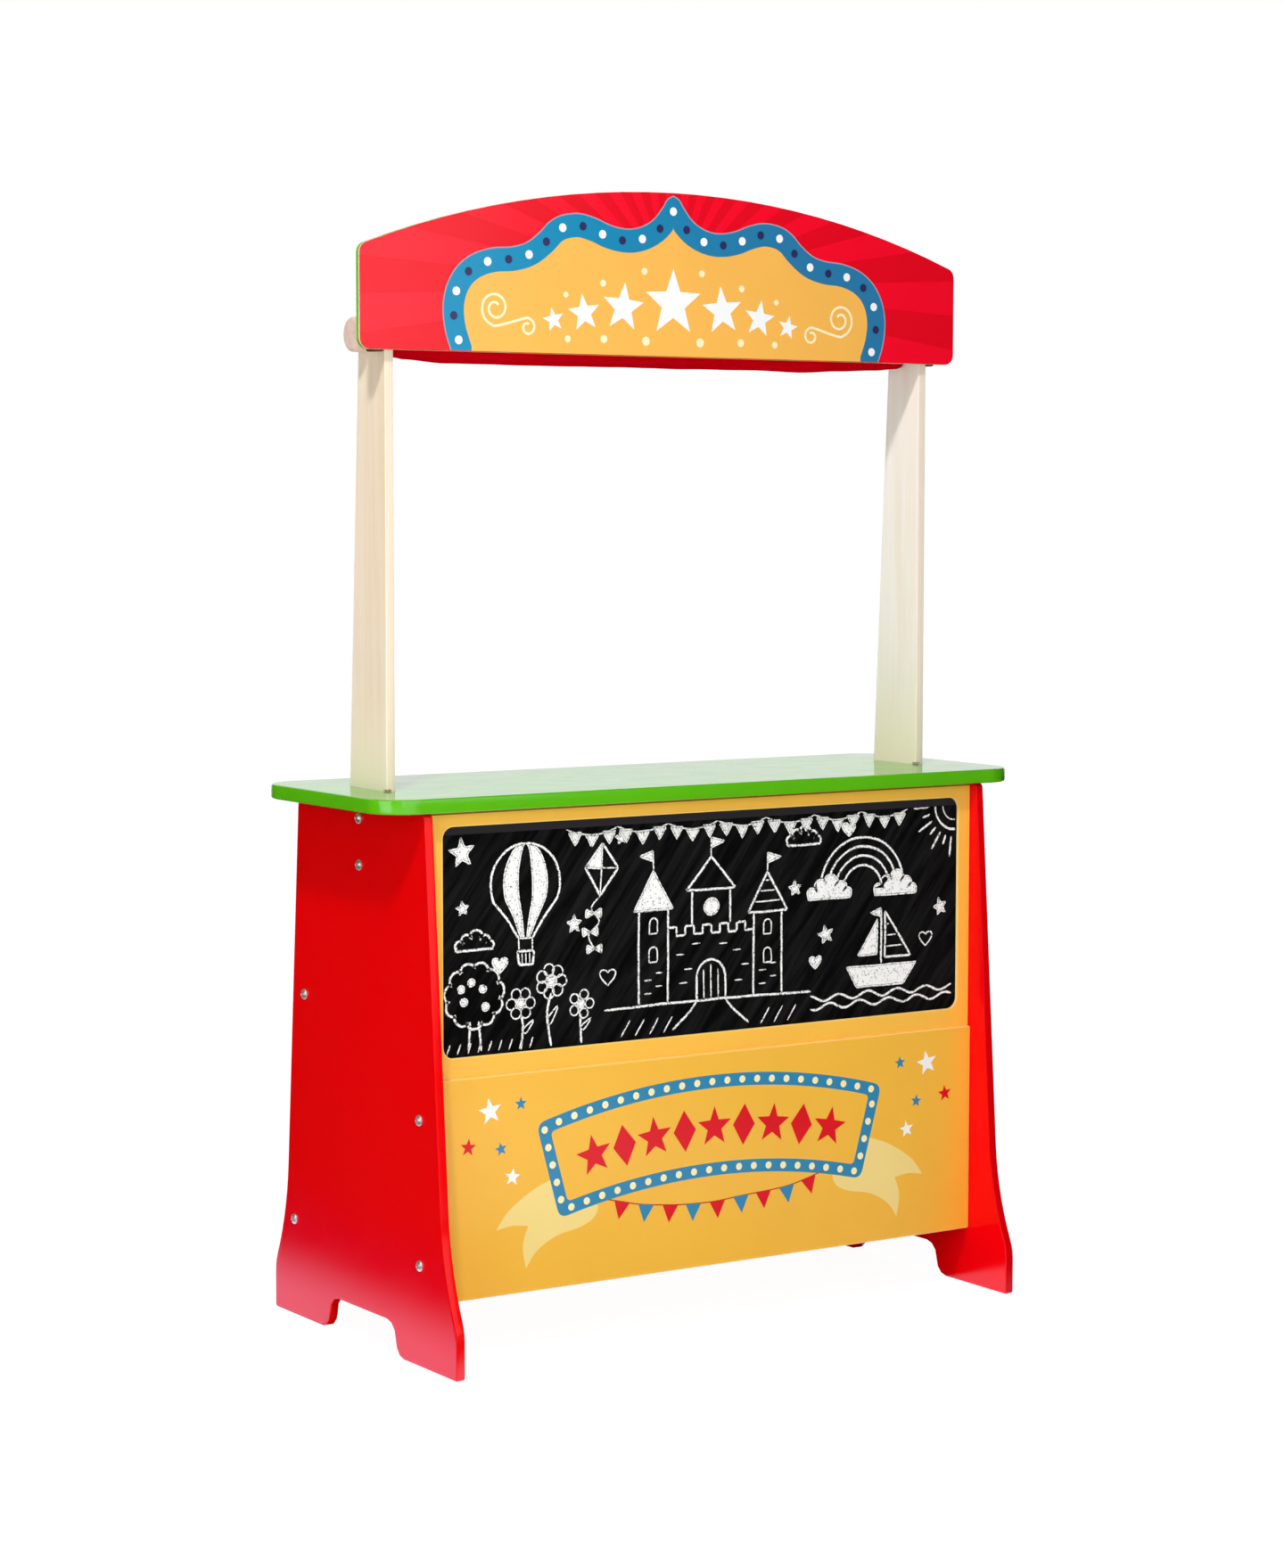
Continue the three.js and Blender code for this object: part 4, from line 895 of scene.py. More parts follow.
def lower_print():
    half = lower_high[0] / MM - FRONT_EDGE
    base = rounded_box((-half, lower_low[2] / MM + FRONT_EDGE), (half, lower_high[2] / MM - FRONT_EDGE),
                       FRONT_CORNER - FRONT_EDGE)
    tail = [point for stretch in RIBBON for point in curve(stretch)[:-1]] + RIBBON[-1][-1:]
    regions = [(tail, "ribbon_cream"),
               ([(x + RIBBON_RIGHT_SHIFT, z) for x, z in mirrored(tail)], "ribbon_cream"),
               (marquee_frame(0, FRAME_CORNER_R), "blue"),
               (marquee_frame(FRAME_BORDER, FRAME_CORNER_R / 2), "panel_yellow")]
    loop = marquee_frame(FRAME_BORDER / 2, FRAME_CORNER_R / 2)
    loop.append(loop[0])
    for place in spaced(loop, round(lengths(loop)[-1] / FRAME_BULB_GAP))[:-1]:
        regions += [(disc(place, radius), ink) for radius, ink in FRAME_BULB]
    string = curve(BUNTING)
    regions.append((stripe(string, BUNTING_WIDTH), "string_red"))
    hung = spaced(string, BUNTING_STEPS)
    for i in range(PENNANTS):
        share = PENNANT_FIRST_SHARE + (PENNANT_LAST_SHARE - PENNANT_FIRST_SHARE) * i / (PENNANTS - 1)
        at = round(share * BUNTING_STEPS)
        (x, z), (u, v) = hung[at], sideways(hung, at)
        pennant = [(x - v * PENNANT_HALF, z + u * PENNANT_HALF),
                   (x + v * PENNANT_HALF, z - u * PENNANT_HALF),
                   (x - u * PENNANT_DROP, z - v * PENNANT_DROP)]
        regions.append((pennant, "blue" if i % 2 else "red"))
    for x, z, radius, tilt, ink in LOWER_STARS:
        regions.append((star((x, z), radius, tilt), ink))
    for i in range(-EMBLEM_HALF_COUNT, EMBLEM_HALF_COUNT + 1):
        lean = i * EMBLEM_STEP_DEG
        place = polar((0, EMBLEM_Z - EMBLEM_ARCH_R), EMBLEM_ARCH_R, 90 - lean)
        shape = (2, EMBLEM_HALF_W / EMBLEM_HALF_H) if i % 2 else (STAR_POINTS, STAR_WAIST)
        regions.append((star(place, EMBLEM_HALF_H, -lean, *shape), "red"))
    printed_face("lower_panel_print", lower_low[1], (base, "panel_yellow"), regions)


lower_print()


# The upper front's print: plain yellow, with a painted highlight round its window and a painted shade under
# the counter

WINDOW_LOW = (-323.7, 307.5)
WINDOW_HIGH = (323.7, 539.0)
WINDOW_CORNER = 12.0
# Painted highlight: the width of the pale line round the window's edge
WINDOW_HIGHLIGHT_LINE = 1.1
UPPER_LAP = 1.0
UPPER_CORNER = 0.2
# Painted shade: how far the dark band under the counter reaches down
HEAD_SHADE_DEEP = 2.7


def upper_print():
    low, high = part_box("upper_front_panel")
    half, top = high[0] / MM - FRONT_EDGE / 2, high[2] / MM
    base = rounded_box((-half, lower_high[2] / MM - UPPER_LAP), (half, top), UPPER_CORNER)
    # Painted highlight: a pale line round the window
    line = rounded_box([v - WINDOW_HIGHLIGHT_LINE for v in WINDOW_LOW], [v + WINDOW_HIGHLIGHT_LINE for v in WINDOW_HIGH],
                       WINDOW_CORNER + WINDOW_HIGHLIGHT_LINE)
    window = rounded_box(WINDOW_LOW, WINDOW_HIGH, WINDOW_CORNER)
    # Painted shade under the counter's overhang
    head = rounded_box((-half, top - HEAD_SHADE_DEEP), (half, top), UPPER_CORNER)
    regions = [(line, "window_painted_highlight"), (window, None), (head, "head_shade")]
    printed_face("upper_panel_print", low[1], (base, "upper_yellow"), regions)


upper_print()


# The chalk drawing's strokes and rubbed-in shapes

CHALK_THIN = 2.3
CHALK_STROKES = {"line": (3.5, False), "thin": (CHALK_THIN, False), "fine": (1.84, False),
                 "loop": (3.5, True), "ring": (CHALK_THIN, True)}
CHALK_STEP = 3.0
CHALK_WOBBLE = 0.7
CHALK_WOBBLE_LENGTH = 26.0
CHALK_SWELL_SHARE = 0.16
CHALK_SWELL_LENGTH = 11.0
CHALK_SWELL_ROW = 1.7
CHALK_TIP_SHARE = 0.45
CHALK_LAYER = 0.0015 * MM
CHALK_HALF_X = 321.5
CHALK_FOOT_Z = 309.0
CHALK_HEAD_Z = 530.0
CHALK_SEED = 1
noise.seed_set(CHALK_SEED)


class Chalk:
    """A chalk drawing as one mesh of ribbons and filled shapes, each a hair in front of the last."""

    def __init__(self, face_y):
        self.face_y = face_y
        self.points, self.faces, self.edge = [], [], []
        self.layer = 0

    def lift(self):
        self.layer += 1
        return self.face_y - PRINT_LIFT - self.layer * CHALK_LAYER

    def place(self, x, z, y, edge):
        """Adds a point, kept inside the board's window."""
        self.points.append((min(max(x, -CHALK_HALF_X), CHALK_HALF_X) * MM, y,
                            min(max(z, CHALK_FOOT_Z), CHALK_HEAD_Z) * MM))
        self.edge.append(edge)

    def shaky(self, line):
        """A line as an unsteady hand draws it."""
        spots = [Vector((x, z, 0.0)) / CHALK_WOBBLE_LENGTH for x, z in line]
        pushes = [noise.noise_vector(spot) * CHALK_WOBBLE for spot in spots]
        return [(x + push.x, z + push.y) for (x, z), push in zip(line, pushes)]

    def stroke(self, line, width, closed):
        """A stroke along a line, a little uneven in place and width, with rounded ends."""
        if closed:
            line = line + line[:1]
        count = max(2, round(lengths(line)[-1] / CHALK_STEP))
        line = self.shaky(spaced(line, count))
        y = self.lift()
        first = len(self.points)
        for i, (x, z) in enumerate(line):
            u, v = sideways(line, i)
            spot = Vector((x / CHALK_SWELL_LENGTH, z / CHALK_SWELL_LENGTH, self.layer * CHALK_SWELL_ROW))
            reach = width / 2 * (1 + CHALK_SWELL_SHARE * noise.noise(spot))
            if not closed and i in (0, count):
                reach *= CHALK_TIP_SHARE
            for side in (-1, 0, 1):
                self.place(x + u * reach * side, z + v * reach * side, y, float(abs(side)))
            if i:
                a = first + 3 * i
                self.faces += [(k, k + 1, k - 2, k - 3) for k in (a, a + 1)]

    def fill(self, outline):
        """A shape rubbed in with the side of the chalk, with a stroke round it."""
        y = self.lift()
        first, count = len(self.points), len(outline)
        outline = self.shaky(outline)
        for x, z in outline:
            self.place(x, z, y, 0.0)
        edges = [(i, (i + 1) % count) for i in range(count)]
        points = [Vector(point) for point in outline]
        flat, _, cells, *_ = delaunay_2d_cdt(points, edges, [], 0, SAME_POINT_MM)
        for cell in cells:
            if max(cell) < count and inside(*middle_of(cell, flat), outline):
                self.faces.append(tuple(first + i for i in cell))
        self.stroke(outline, CHALK_THIN, True)

    def draw(self, motif, x, z):
        """Draws a motif's rows, of a kind and an outline each, about a place."""
        for kind, outline in motif:
            moved = [(x + u, z + v) for u, v in outline]
            if kind == "fill":
                self.fill(moved)
            else:
                self.stroke(moved, *CHALK_STROKES[kind])

    def finish(self, name):
        piece = new_piece(name, self.points, self.faces, STAND, [chalk_finish()])
        edge = piece.data.attributes.new("edge", "FLOAT", "POINT")
        edge.data.foreach_set("value", self.edge)


# Motifs, as rows of a kind and an outline in millimetres about the motif's own place

def flag(x, z, side):
    return [("thin", [(x, z), (x, z + 20)]), ("fill", [(x, z + 20), (x + side * 17, z + 15), (x, z + 9)])]


TOWER_X = 72
TOWER_ROOF_H = 42
TILE_ROWS = ((11, 15.452), (22, 8.905), (33, 2.357))


def tower(side, top):
    """A tower with a pointed roof, filled or tiled, a flag, two windows and a few bricks."""
    x = side * TOWER_X
    roof = [(x - 25, top), (x, top + TOWER_ROOF_H), (x + 25, top)]
    rows = [("line", [(x - 18, 0), (x - 18, top), (x + 18, top), (x + 18, 0)])]
    if side < 0:
        rows.append(("fill", roof))
    else:
        rows.append(("loop", roof))
        rows += [("thin", [(x - half, top + rise), (x + half, top + rise)]) for rise, half in TILE_ROWS]
    rows += flag(x, top + TOWER_ROOF_H, side)
    for z in (top - 24, top - 54):
        rows.append(("ring", [(x - 5, z), (x - 5, z + 11)] + arc((x, z + 11), 5, 180, 0, 6) + [(x + 5, z)]))
    for z in (12, 26):
        rows += [("thin", [(x - 11, z), (x - 2, z)]), ("thin", [(x + 3, z + 7), (x + 11, z + 7)])]
    return rows


WALL_TOP = [(-54 + 10.8 * (i + end), 70 if i % 2 else 79) for i in range(10) for end in (0, 1)]
KEEP_TOP = 116
BRICKS = ((-40, 20), (-34, 34), (-44, 50), (-24, 60), (10, 58), (30, 18), (38, 34), (28, 50))
CASTLE = [("line", [(-54, 0)] + WALL_TOP + [(54, 0)])] + tower(-1, 98) + tower(1, 88) + [
    ("line", [(-24, 80), (-24, KEEP_TOP), (24, KEEP_TOP), (24, 80)]),
    ("loop", [(-31, KEEP_TOP), (0, 150), (31, KEEP_TOP)]),
    *flag(0, 150, 1),
    ("fill", disc((0, 98), 9, 18)),
    ("line", [(-18, 0)] + arc((0, 24), 18, 180, 0, 12) + [(18, 0)]),
    *[("thin", [(x, 2), (x, top)]) for x, top in ((-9, 32), (0, 37), (9, 32))],
    *[("thin", [(x, z), (x + 10, z)]) for x, z in BRICKS],
    ("line", [(-132, -1), (-60, 0), (60, 0), (128, -2)]),
    *[("line", curve([(side * 18, 0), (side * 26, -10), (side * 48, -28)])) for side in (-1, 1)],
]

GORE_EDGE = arc((0, 0), 41, 90, -24, 12)
GORE_EDGE += [(20.884, -35.721), (16.656, -42.128), (12.428, -48.534), (8.2, -54.94)]
BALLOON_FOOT = -54.94
BASKET_TOP, BASKET_FOOT = BALLOON_FOOT - 13, BALLOON_FOOT - 27


def gore_edge(share):
    return [(x * share, z) for x, z in GORE_EDGE]


BALLOON = [
    *[("fill", gore_edge(low) + gore_edge(high)[::-1]) for low, high in ((-0.62, -0.2), (0.2, 0.62))],
    *[("line", gore_edge(side)) for side in (-1, 1)],
    ("thin", [(-8.2, BALLOON_FOOT), (8.2, BALLOON_FOOT)]),
    *[("thin", [(side * 8.2, BALLOON_FOOT), (side * 8, BASKET_TOP)]) for side in (-1, 1)],
    ("loop", [(-10, BASKET_TOP), (-8, BASKET_FOOT), (8, BASKET_FOOT), (10, BASKET_TOP)]),
    *[("fine", [(x, BASKET_TOP - 1), (x, BASKET_FOOT + 1)]) for x in (-4.5, 0, 4.5)],
]

CLOUD_LOBES = ((-1.3, 0.35, 0.42), (-0.65, 0.75, 0.52), (0.15, 0.95, 0.6), (0.9, 0.62, 0.5),
               (1.4, 0.3, 0.36))


def cloud(x, z, size, kind="fill"):
    """A cloud of five round lobes on a flat foot."""
    outline = [(x - 1.6 * size, z)]
    for u, v, radius in CLOUD_LOBES:
        outline += arc((x + u * size, z + v * size), radius * size, 165, 15, 8)
    return [(kind, outline + [(x + 1.7 * size, z)])]


RAINBOW = [("line", arc((0, 0), radius, 8, 172, 30)) for radius in (56, 46, 36, 26)]
RAINBOW += cloud(-44, -8, 17) + cloud(44, -8, 17)
BOAT = [
    ("fill", [(-46, 16), (-32, -6), (30, -6), (48, 16)]),
    ("line", [(0, 18), (0, 78)]),
    ("loop", [(5, 24), (5, 74), (40, 24)]),
    *[("thin", [(7, z), (right, z)]) for z, right in ((36, 28), (48, 19), (60, 10))],
    ("fill", [(-5, 28), (-5, 66), (-31, 28)]),
    ("fill", [(0, 78), (-15, 73), (0, 68)]),
]
WAVE_XS = [128 + 190 * i / 60 for i in range(61)]
WAVES = [("line", [(x, 3.2 * math.sin(x / 6.2 + 1.9 * row) - 9 * row) for x in WAVE_XS]) for row in (0, 1)]
KITE_TAIL = curve([(-3, -24), (-14, -36), (-4, -50), (-17, -63), (-10, -78)])
KITE = [
    ("loop", [(0, 30), (19, 4), (-3, -24), (-21, 6)]),
    ("thin", [(0, 30), (-3, -24)]),
    ("thin", [(19, 4), (-21, 6)]),
    ("fill", [(0, 30), (-1, 4), (-21, 6)]),
    ("thin", KITE_TAIL),
    *[("fill", [(x, z), (x + side * 9, z + 5), (x + side * 9, z - 5)])
      for x, z in (KITE_TAIL[11], KITE_TAIL[22], KITE_TAIL[32]) for side in (-1, 1)],
]
CROWN = []
for turn in (360 * i / 11 - 90 for i in range(11)):
    u, v = polar((0, 0), 1, turn)
    CROWN += arc((25 * u, 56 + 24 * v), 10, turn - 75, turn + 75, 6)
TREE = [
    ("line", [(-7, 0), (-5, 30)]),
    ("line", [(8, 0), (5, 30)]),
    ("loop", CROWN),
    *[("fill", disc(place, 4.2, 12)) for place in ((-12, 50), (10, 62), (-3, 70), (13, 44), (-15, 64))],
]
SUN = [("line", arc((0, 0), 27, 176, 282, 18)), ("thin", arc((0, 0), 16.74, 180, 278, 12))]
SUN += [("line", [polar((0, 0), reach, 182 + 13.5 * i) for reach in (35.1, 45.9 if i % 2 else 56.7)])
        for i in range(8)]
SWAG_DEEP = 26
SWAG = [("thin", [(62 * t, -SWAG_DEEP * t * (1 - t)) for t in (i / 8 for i in range(9))])]
SWAG += [("fill", [(62 * t - 8, z), (62 * t + 8, z), (62 * t, z - 13)])
         for t, z in ((t, -SWAG_DEEP * t * (1 - t)) for t in (0.17, 0.5, 0.83))]
TALL_GRASS = [("thin", [(0, 0), (11, 16)])]
GRASS = [("thin", [(0, 0), (4, 10)])]


def flower(lean, height, petals, size):
    """A flower on a leaning stem, with a leaf and round petals."""
    leaf = [(lean, height * 0.42), (lean + 13, height * 0.62), (lean + 4, height * 0.34)]
    tips = [polar((0, height), size, 360 * i / petals) for i in range(petals)]
    return [
        ("line", curve([(0, 0), (lean, height / 2), (0, height - size)])),
        ("ring", curve(leaf, closed=True)),
        *[("ring", disc(tip, size * 0.52, 12)) for tip in tips],
        ("fill", disc((0, height), size * 0.42, 12)),
    ]


def heart(size, kind):
    scale = size * 0.062
    return [(kind, [(scale * 16 * math.sin(t) ** 3,
                     scale * (13 * math.cos(t) - 5 * math.cos(2 * t) - 2 * math.cos(3 * t)))
                    for t in (TAU * i / 24 for i in range(24))])]


# The picture: a castle with a balloon, a rainbow, a boat, a kite, a tree, flowers, a sun and clouds

CHALK_PICTURE = [
    (CASTLE, 0, 342), (BALLOON, -226, 477), (RAINBOW, 196, 446), (BOAT, 222, 346), (WAVES, 0, 332),
    (KITE, -134, 483), (TREE, -286, 312), (flower(2.3, 46, 6, 11), -232, 310),
    (flower(-4.7, 66, 7, 12), -196, 310), (flower(-1.1, 40, 5, 10), -160, 310), (SUN, 321, 531),
    (cloud(0, 0, 13, "loop"), -286, 414), (cloud(0, 0, 13, "loop"), 118, 498),
]

# Stars of x, z, radius and tilt in degrees, and hearts of x, z, size and kind

CHALK_STARS = [(-300, 512, 15, 6), (-168, 432, 10, 2), (108, 452, 9, 6), (148, 400, 11, 12),
               (302, 420, 10, 13), (-300, 456, 8, 6), (-112, 518, 8, 7)]
CHALK_HEARTS = [(-256, 398, 9, "fill"), (-128, 376, 10, "ring"), (282, 388, 9, "ring"),
                (178, 512, 9, "fill"), (134, 372, 8, "fill")]
TALL_GRASS_XS = (-112, -94.5, -77, -59.5, 63, 80.5, 98)
CHALK_PICTURE += [([("fill", star((0, 0), radius, tilt))], x, z) for x, z, radius, tilt in CHALK_STARS]
CHALK_PICTURE += [(heart(size, kind), x, z) for x, z, size, kind in CHALK_HEARTS]
CHALK_PICTURE += [(TALL_GRASS, x, 312) for x in TALL_GRASS_XS]
CHALK_PICTURE += [(GRASS, x, 311) for x in range(-318, -221, 12)]
CHALK_PICTURE += [(SWAG, x, 529) for x in range(-178, 256, 62)]
chalk = Chalk(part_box("chalkboard")[0][1])
for motif, x, z in CHALK_PICTURE:
    chalk.draw(motif, x, z)
chalk.finish("chalk_drawing")


# Turned and hexagonal parts, finer than the solids that they stand for

ROUND_STEPS = 60
FASTENER_SHARP_DEG = 30
AXIS_SPOT = 0.01
BOLT_R = 3.0
BOLT_CHAMFER = 0.5
HEAD_R = 5.6
HEAD_H = 3.3
HEAD_RIM_H = 0.8
HEAD_ROUND = (360 / 7, 4)
SOCKET_R = 2.4
SOCKET_DEEP = 2.1
SOCKET_LIP = 0.35
CAP_BASE_H = 5.0
CAP_R = 5.77
CAP_CHAMFER = 0.7
CAP_FLAT_R = CAP_R * math.cos(math.pi / 6)
CAP_DOME_R = 0.93 * CAP_FLAT_R
CAP_BORE_R = 3.3
CAP_BORE_DEEP = 5.8
CAP_ROUND = (81, 9)
KNOB_ROUND_R = 4.0
KNOB_EDGE_R = 1.5
KNOB_BORE_R = 6.65
KNOB_BORE_DEEP = 12.3
KNOB_STEPS = 7
ROD_CHAMFER = 0.8
HEXAGON = "hexagon"
BOLTS = ("upright_bolt_upper", "upright_bolt_lower", "middle_shelf_bolt", "bottom_shelf_bolt",
         "front_bolt_upper", "front_bolt_lower")
CAP_NUTS = ("upright_cap_nut_upper", "upright_cap_nut_lower")


def hexagon_reach(radius, angle):
    """A hexagon's reach at an angle, with its corners at radius."""
    half = math.pi / 6
    return radius * math.cos(half) / math.cos((angle + half) % (2 * half) - half)


def turned(node, rings, way, body, finish, sharp_deg):
    """A part that stands for a node, made of rings round the node's own axis along X. way says from which
    end the rings are measured. Each ring is (radius, distance along) and may be a hexagon, and the first
    and the last one close on the axis."""
    low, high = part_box(node)
    start = low[0] if way > 0 else high[0]
    middle_y, middle_z = (low[1] + high[1]) / 2, (low[2] + high[2]) / 2
    points = []
    for radius, distance, *shape in rings:
        for i in range(ROUND_STEPS):
            angle = TAU * i / ROUND_STEPS
            reach = (hexagon_reach(radius, angle) if shape else radius) * MM
            points.append((start + way * distance * MM, middle_y - way * reach * math.sin(angle),
                           middle_z + reach * math.cos(angle)))
    last = (len(rings) - 1) * ROUND_STEPS
    faces = [(a, b, b + ROUND_STEPS, a + ROUND_STEPS) for ring in range(0, last, ROUND_STEPS)
             for a, b in ((ring + i, ring + (i + 1) % ROUND_STEPS) for i in range(ROUND_STEPS))]
    faces += [tuple(reversed(range(ROUND_STEPS))), tuple(range(last, last + ROUND_STEPS))]
    piece = new_piece(node + "_fine", points, faces, body, [finish], smooth=True)
    split_arrises(piece, sharp_deg)
    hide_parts(node)


def rounded(centre, reach_r, reach_d, from_deg, to_deg, steps):
    """Rings along a rounded edge, whose centre is at a radius and a distance along the axis."""
    unit = arc((0.0, 0.0), 1.0, from_deg, to_deg, steps)
    return [(centre[0] + reach_r * u, centre[1] + reach_d * v) for u, v in unit]


def length_of(node):
    low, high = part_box(node)
    return (high[0] - low[0]) / MM


def bolt(node, side):
    """A button-head bolt with a hexagon socket: the head is on the outer side."""
    length = length_of(node)
    seat = length - HEAD_H
    rings = [(BOLT_R - BOLT_CHAMFER, 0.0), (BOLT_R, BOLT_CHAMFER), (BOLT_R, seat), (HEAD_R, seat)]
    rings += rounded((0.0, seat + HEAD_RIM_H), HEAD_R, HEAD_H - HEAD_RIM_H, 0, *HEAD_ROUND)
    rings += [(SOCKET_R + SOCKET_LIP, length), (SOCKET_R, length - SOCKET_LIP, HEXAGON),
              (SOCKET_R, length - SOCKET_DEEP, HEXAGON), (AXIS_SPOT, length - SOCKET_DEEP)]
    turned(node, rings, side, STAND, nickel, FASTENER_SHARP_DEG)


def cap_nut(node, side):
    """A domed cap nut on a hexagon, open towards the bolt."""
    height = length_of(node)
    rings = [(AXIS_SPOT, CAP_BORE_DEEP), (CAP_BORE_R, CAP_BORE_DEEP), (CAP_BORE_R, 0.0), (CAP_FLAT_R, 0.0),
             (CAP_R, CAP_CHAMFER, HEXAGON), (CAP_R, CAP_BASE_H - CAP_CHAMFER, HEXAGON),
             (CAP_FLAT_R, CAP_BASE_H)]
    rings += rounded((0.0, CAP_BASE_H), CAP_DOME_R, height - CAP_BASE_H, 0, *CAP_ROUND)
    rings.append((AXIS_SPOT, height))
    turned(node, rings, -side, STAND, nickel, FASTENER_SHARP_DEG)


def knob(node, side):
    low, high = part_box(node)
    radius, length = (high[2] - low[2]) / 2 / MM, length_of(node)
    rings = [(AXIS_SPOT, KNOB_BORE_DEEP), (KNOB_BORE_R, KNOB_BORE_DEEP), (KNOB_BORE_R, 0.0)]
    rings += arc((radius - KNOB_EDGE_R, KNOB_EDGE_R), KNOB_EDGE_R, -90, 0, KNOB_STEPS)
    rings += arc((radius - KNOB_ROUND_R, length - KNOB_ROUND_R), KNOB_ROUND_R, 0, 90, KNOB_STEPS)
    rings.append((AXIS_SPOT, length))
    turned(node, rings, side, ROLLER, beech_turned, SHARP_DEG)


def rod(node):
    low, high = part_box(node)
    radius, length = (high[2] - low[2]) / 2 / MM, length_of(node)
    rings = [(radius - ROD_CHAMFER, 0.0), (radius, ROD_CHAMFER), (radius, length - ROD_CHAMFER),
             (radius - ROD_CHAMFER, length)]
    turned(node, rings, 1, ROLLER, beech_turned, SHARP_DEG)


for name, side in SIDES:
    for fastener in BOLTS:
        bolt(f"{fastener}_{name}", side)
    for fastener in CAP_NUTS:
        cap_nut(f"{fastener}_{name}", side)
for name, side in SIDES:
    knob("curtain_knob_" + name, side)
rod("curtain_rod")


# The curtain: one cloth wound on the rod

CLOTH_T = 1.0
ROLL_CORE_R = 7.4
ROLL_TURNS = 6.6
ROLL_TURN_STEPS = 48
ROLL_STATIONS = 90
ROLL_HEM_DEG = 205.0
ROLL_WIDTHS = [
    (-327.0, 21.6), (-306.0, 23.6), (-299.0, 25.0), (-247.0, 28.1), (-183.0, 28.3), (-97.0, 28.0),
    (-30.0, 27.5), (37.0, 28.0), (106.0, 27.3), (153.0, 27.4), (200.0, 28.2), (249.0, 25.9),
    (298.0, 23.9), (327.0, 21.4),
]
WAVE_REACH = 0.5
WAVE_LENGTH = 42.0
WAVES_ROUND = 1.3
EDGE_WANDER = 1.6
EDGE_WANDERS = 14.0
EDGE_WANDER_ROW = 3.7
HEM_RIDGE = 0.9
HEM_WIDTH = 16.0
HEM_SLOPE = 3.0


def roll_radius(x):
    """The rolled cloth's outer radius at a place along the roller."""
    for (ax, ar), (bx, br) in zip(ROLL_WIDTHS, ROLL_WIDTHS[1:]):
        if x <= bx:
            t = max(0.0, (x - ax) / (bx - ax))
            return ar + (br - ar) * t * t * (3 - 2 * t)
    return ROLL_WIDTHS[-1][1]


def rolled_curtain():
    """One sheet wound on the rod, as a closed shell: each turn lies outside the one before it."""
    rod_low, rod_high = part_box("curtain_rod")
    roller_y, roller_z = (rod_low[1] + rod_high[1]) / 2, (rod_low[2] + rod_high[2]) / 2
    steps = round(ROLL_TURNS * ROLL_TURN_STEPS)
    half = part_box("curtain_roll")[1][0] / MM - EDGE_WANDER
    points, lay = [], []
    for layer in (CLOTH_T / 2, -CLOTH_T / 2):
        run = 0.0
        for i in range(steps + 1):
            share = i / steps
            angle = math.radians(ROLL_HEM_DEG) + TAU * ROLL_TURNS * (1 - share)
            wander = EDGE_WANDER * noise.noise(Vector((share * EDGE_WANDERS, EDGE_WANDER_ROW, 0.0)))
            radii = []
            for j in range(ROLL_STATIONS + 1):
                x = -half + 2 * half * j / ROLL_STATIONS
                outer = roll_radius(x) - CLOTH_T / 2 - HEM_RIDGE
                radius = ROLL_CORE_R + (outer - ROLL_CORE_R) * share
                spot = (x / WAVE_LENGTH, math.cos(angle) * WAVES_ROUND, math.sin(angle) * WAVES_ROUND)
                radius += WAVE_REACH * noise.noise(Vector(spot)) * share
                left = (1 - share) * steps * TAU * radius / ROLL_TURN_STEPS
                if layer > 0 and left < HEM_WIDTH:
                    radius += HEM_RIDGE * min(1.0, (HEM_WIDTH - left) / HEM_SLOPE)
                radius += layer
                points.append(((x + wander) * MM, roller_y + radius * MM * math.cos(angle),
                               roller_z + radius * MM * math.sin(angle)))
                lay.append(((x + half) * MM, run * MM))
                radii.append(radius)
            run += TAU * sum(radii) / len(radii) / ROLL_TURN_STEPS
    last, width = ROLL_STATIONS, ROLL_STATIONS + 1
    back = (steps + 1) * width
    faces = []
    for a in (i * width + j for i in range(steps) for j in range(last)):
        b = a + back
        faces += [(a, a + 1, a + width + 1, a + width), (b + width, b + width + 1, b + 1, b)]
    rim = [*range(last), *(i * width + last for i in range(steps)),
           *(steps * width + j for j in range(last, 0, -1)), *(i * width for i in range(steps, 0, -1))]
    faces += [(a, a + back, b + back, b) for a, b in zip(rim, rim[1:] + rim[:1])]
    sheet = new_piece("rolled_curtain", points, faces, ROLLER, [cloth_finish()],
                      smooth=True)
    marks = sheet.data.uv_layers.new(name="cloth")
    for loop in sheet.data.loops:
        marks.data[loop.index].uv = lay[loop.vertex_index]
    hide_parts("curtain_roll")
    return sheet


sheet = rolled_curtain()


# The floor: white to the camera, with its shadow, and painted reflections, glows that only gloss sees, for
# the glossy boards to mirror, in metres

FLOOR_SIZE = 14.0
FLOOR_TONE = 0.8
FLOOR_SHADOW = 0.12
FLOOR_GLOW = 0.95
FLOOR_FADE = (1.2, 3.2)
PANEL_SET_IN = 0.046
# Painted reflections: glows seen only by gloss, beside, between and in front of the stand
SIDE_GLOW = 1.8
SIDE_GLOW_OUT = (0.03, 0.18)
SIDE_GLOW_Y = (-0.3, -0.22)
SIDE_GLOW_TONE = (1.0, 0.78, 1.0, 1.0)
INSIDE_GLOW = 3.4
INSIDE_GLOW_Y = (-0.1, -0.08)
TINGE_GLOW = 0.22
TINGE_OUT = (0.03, 0.36)
TINGE_TONE = (0.25, 0.0, 1.0, 1.0)
FRONT_GLOW = 0.8
FRONT_GLOW_Y = (-0.9, -0.5)
FRONT_GLOW_X = (0.3, 0.9)


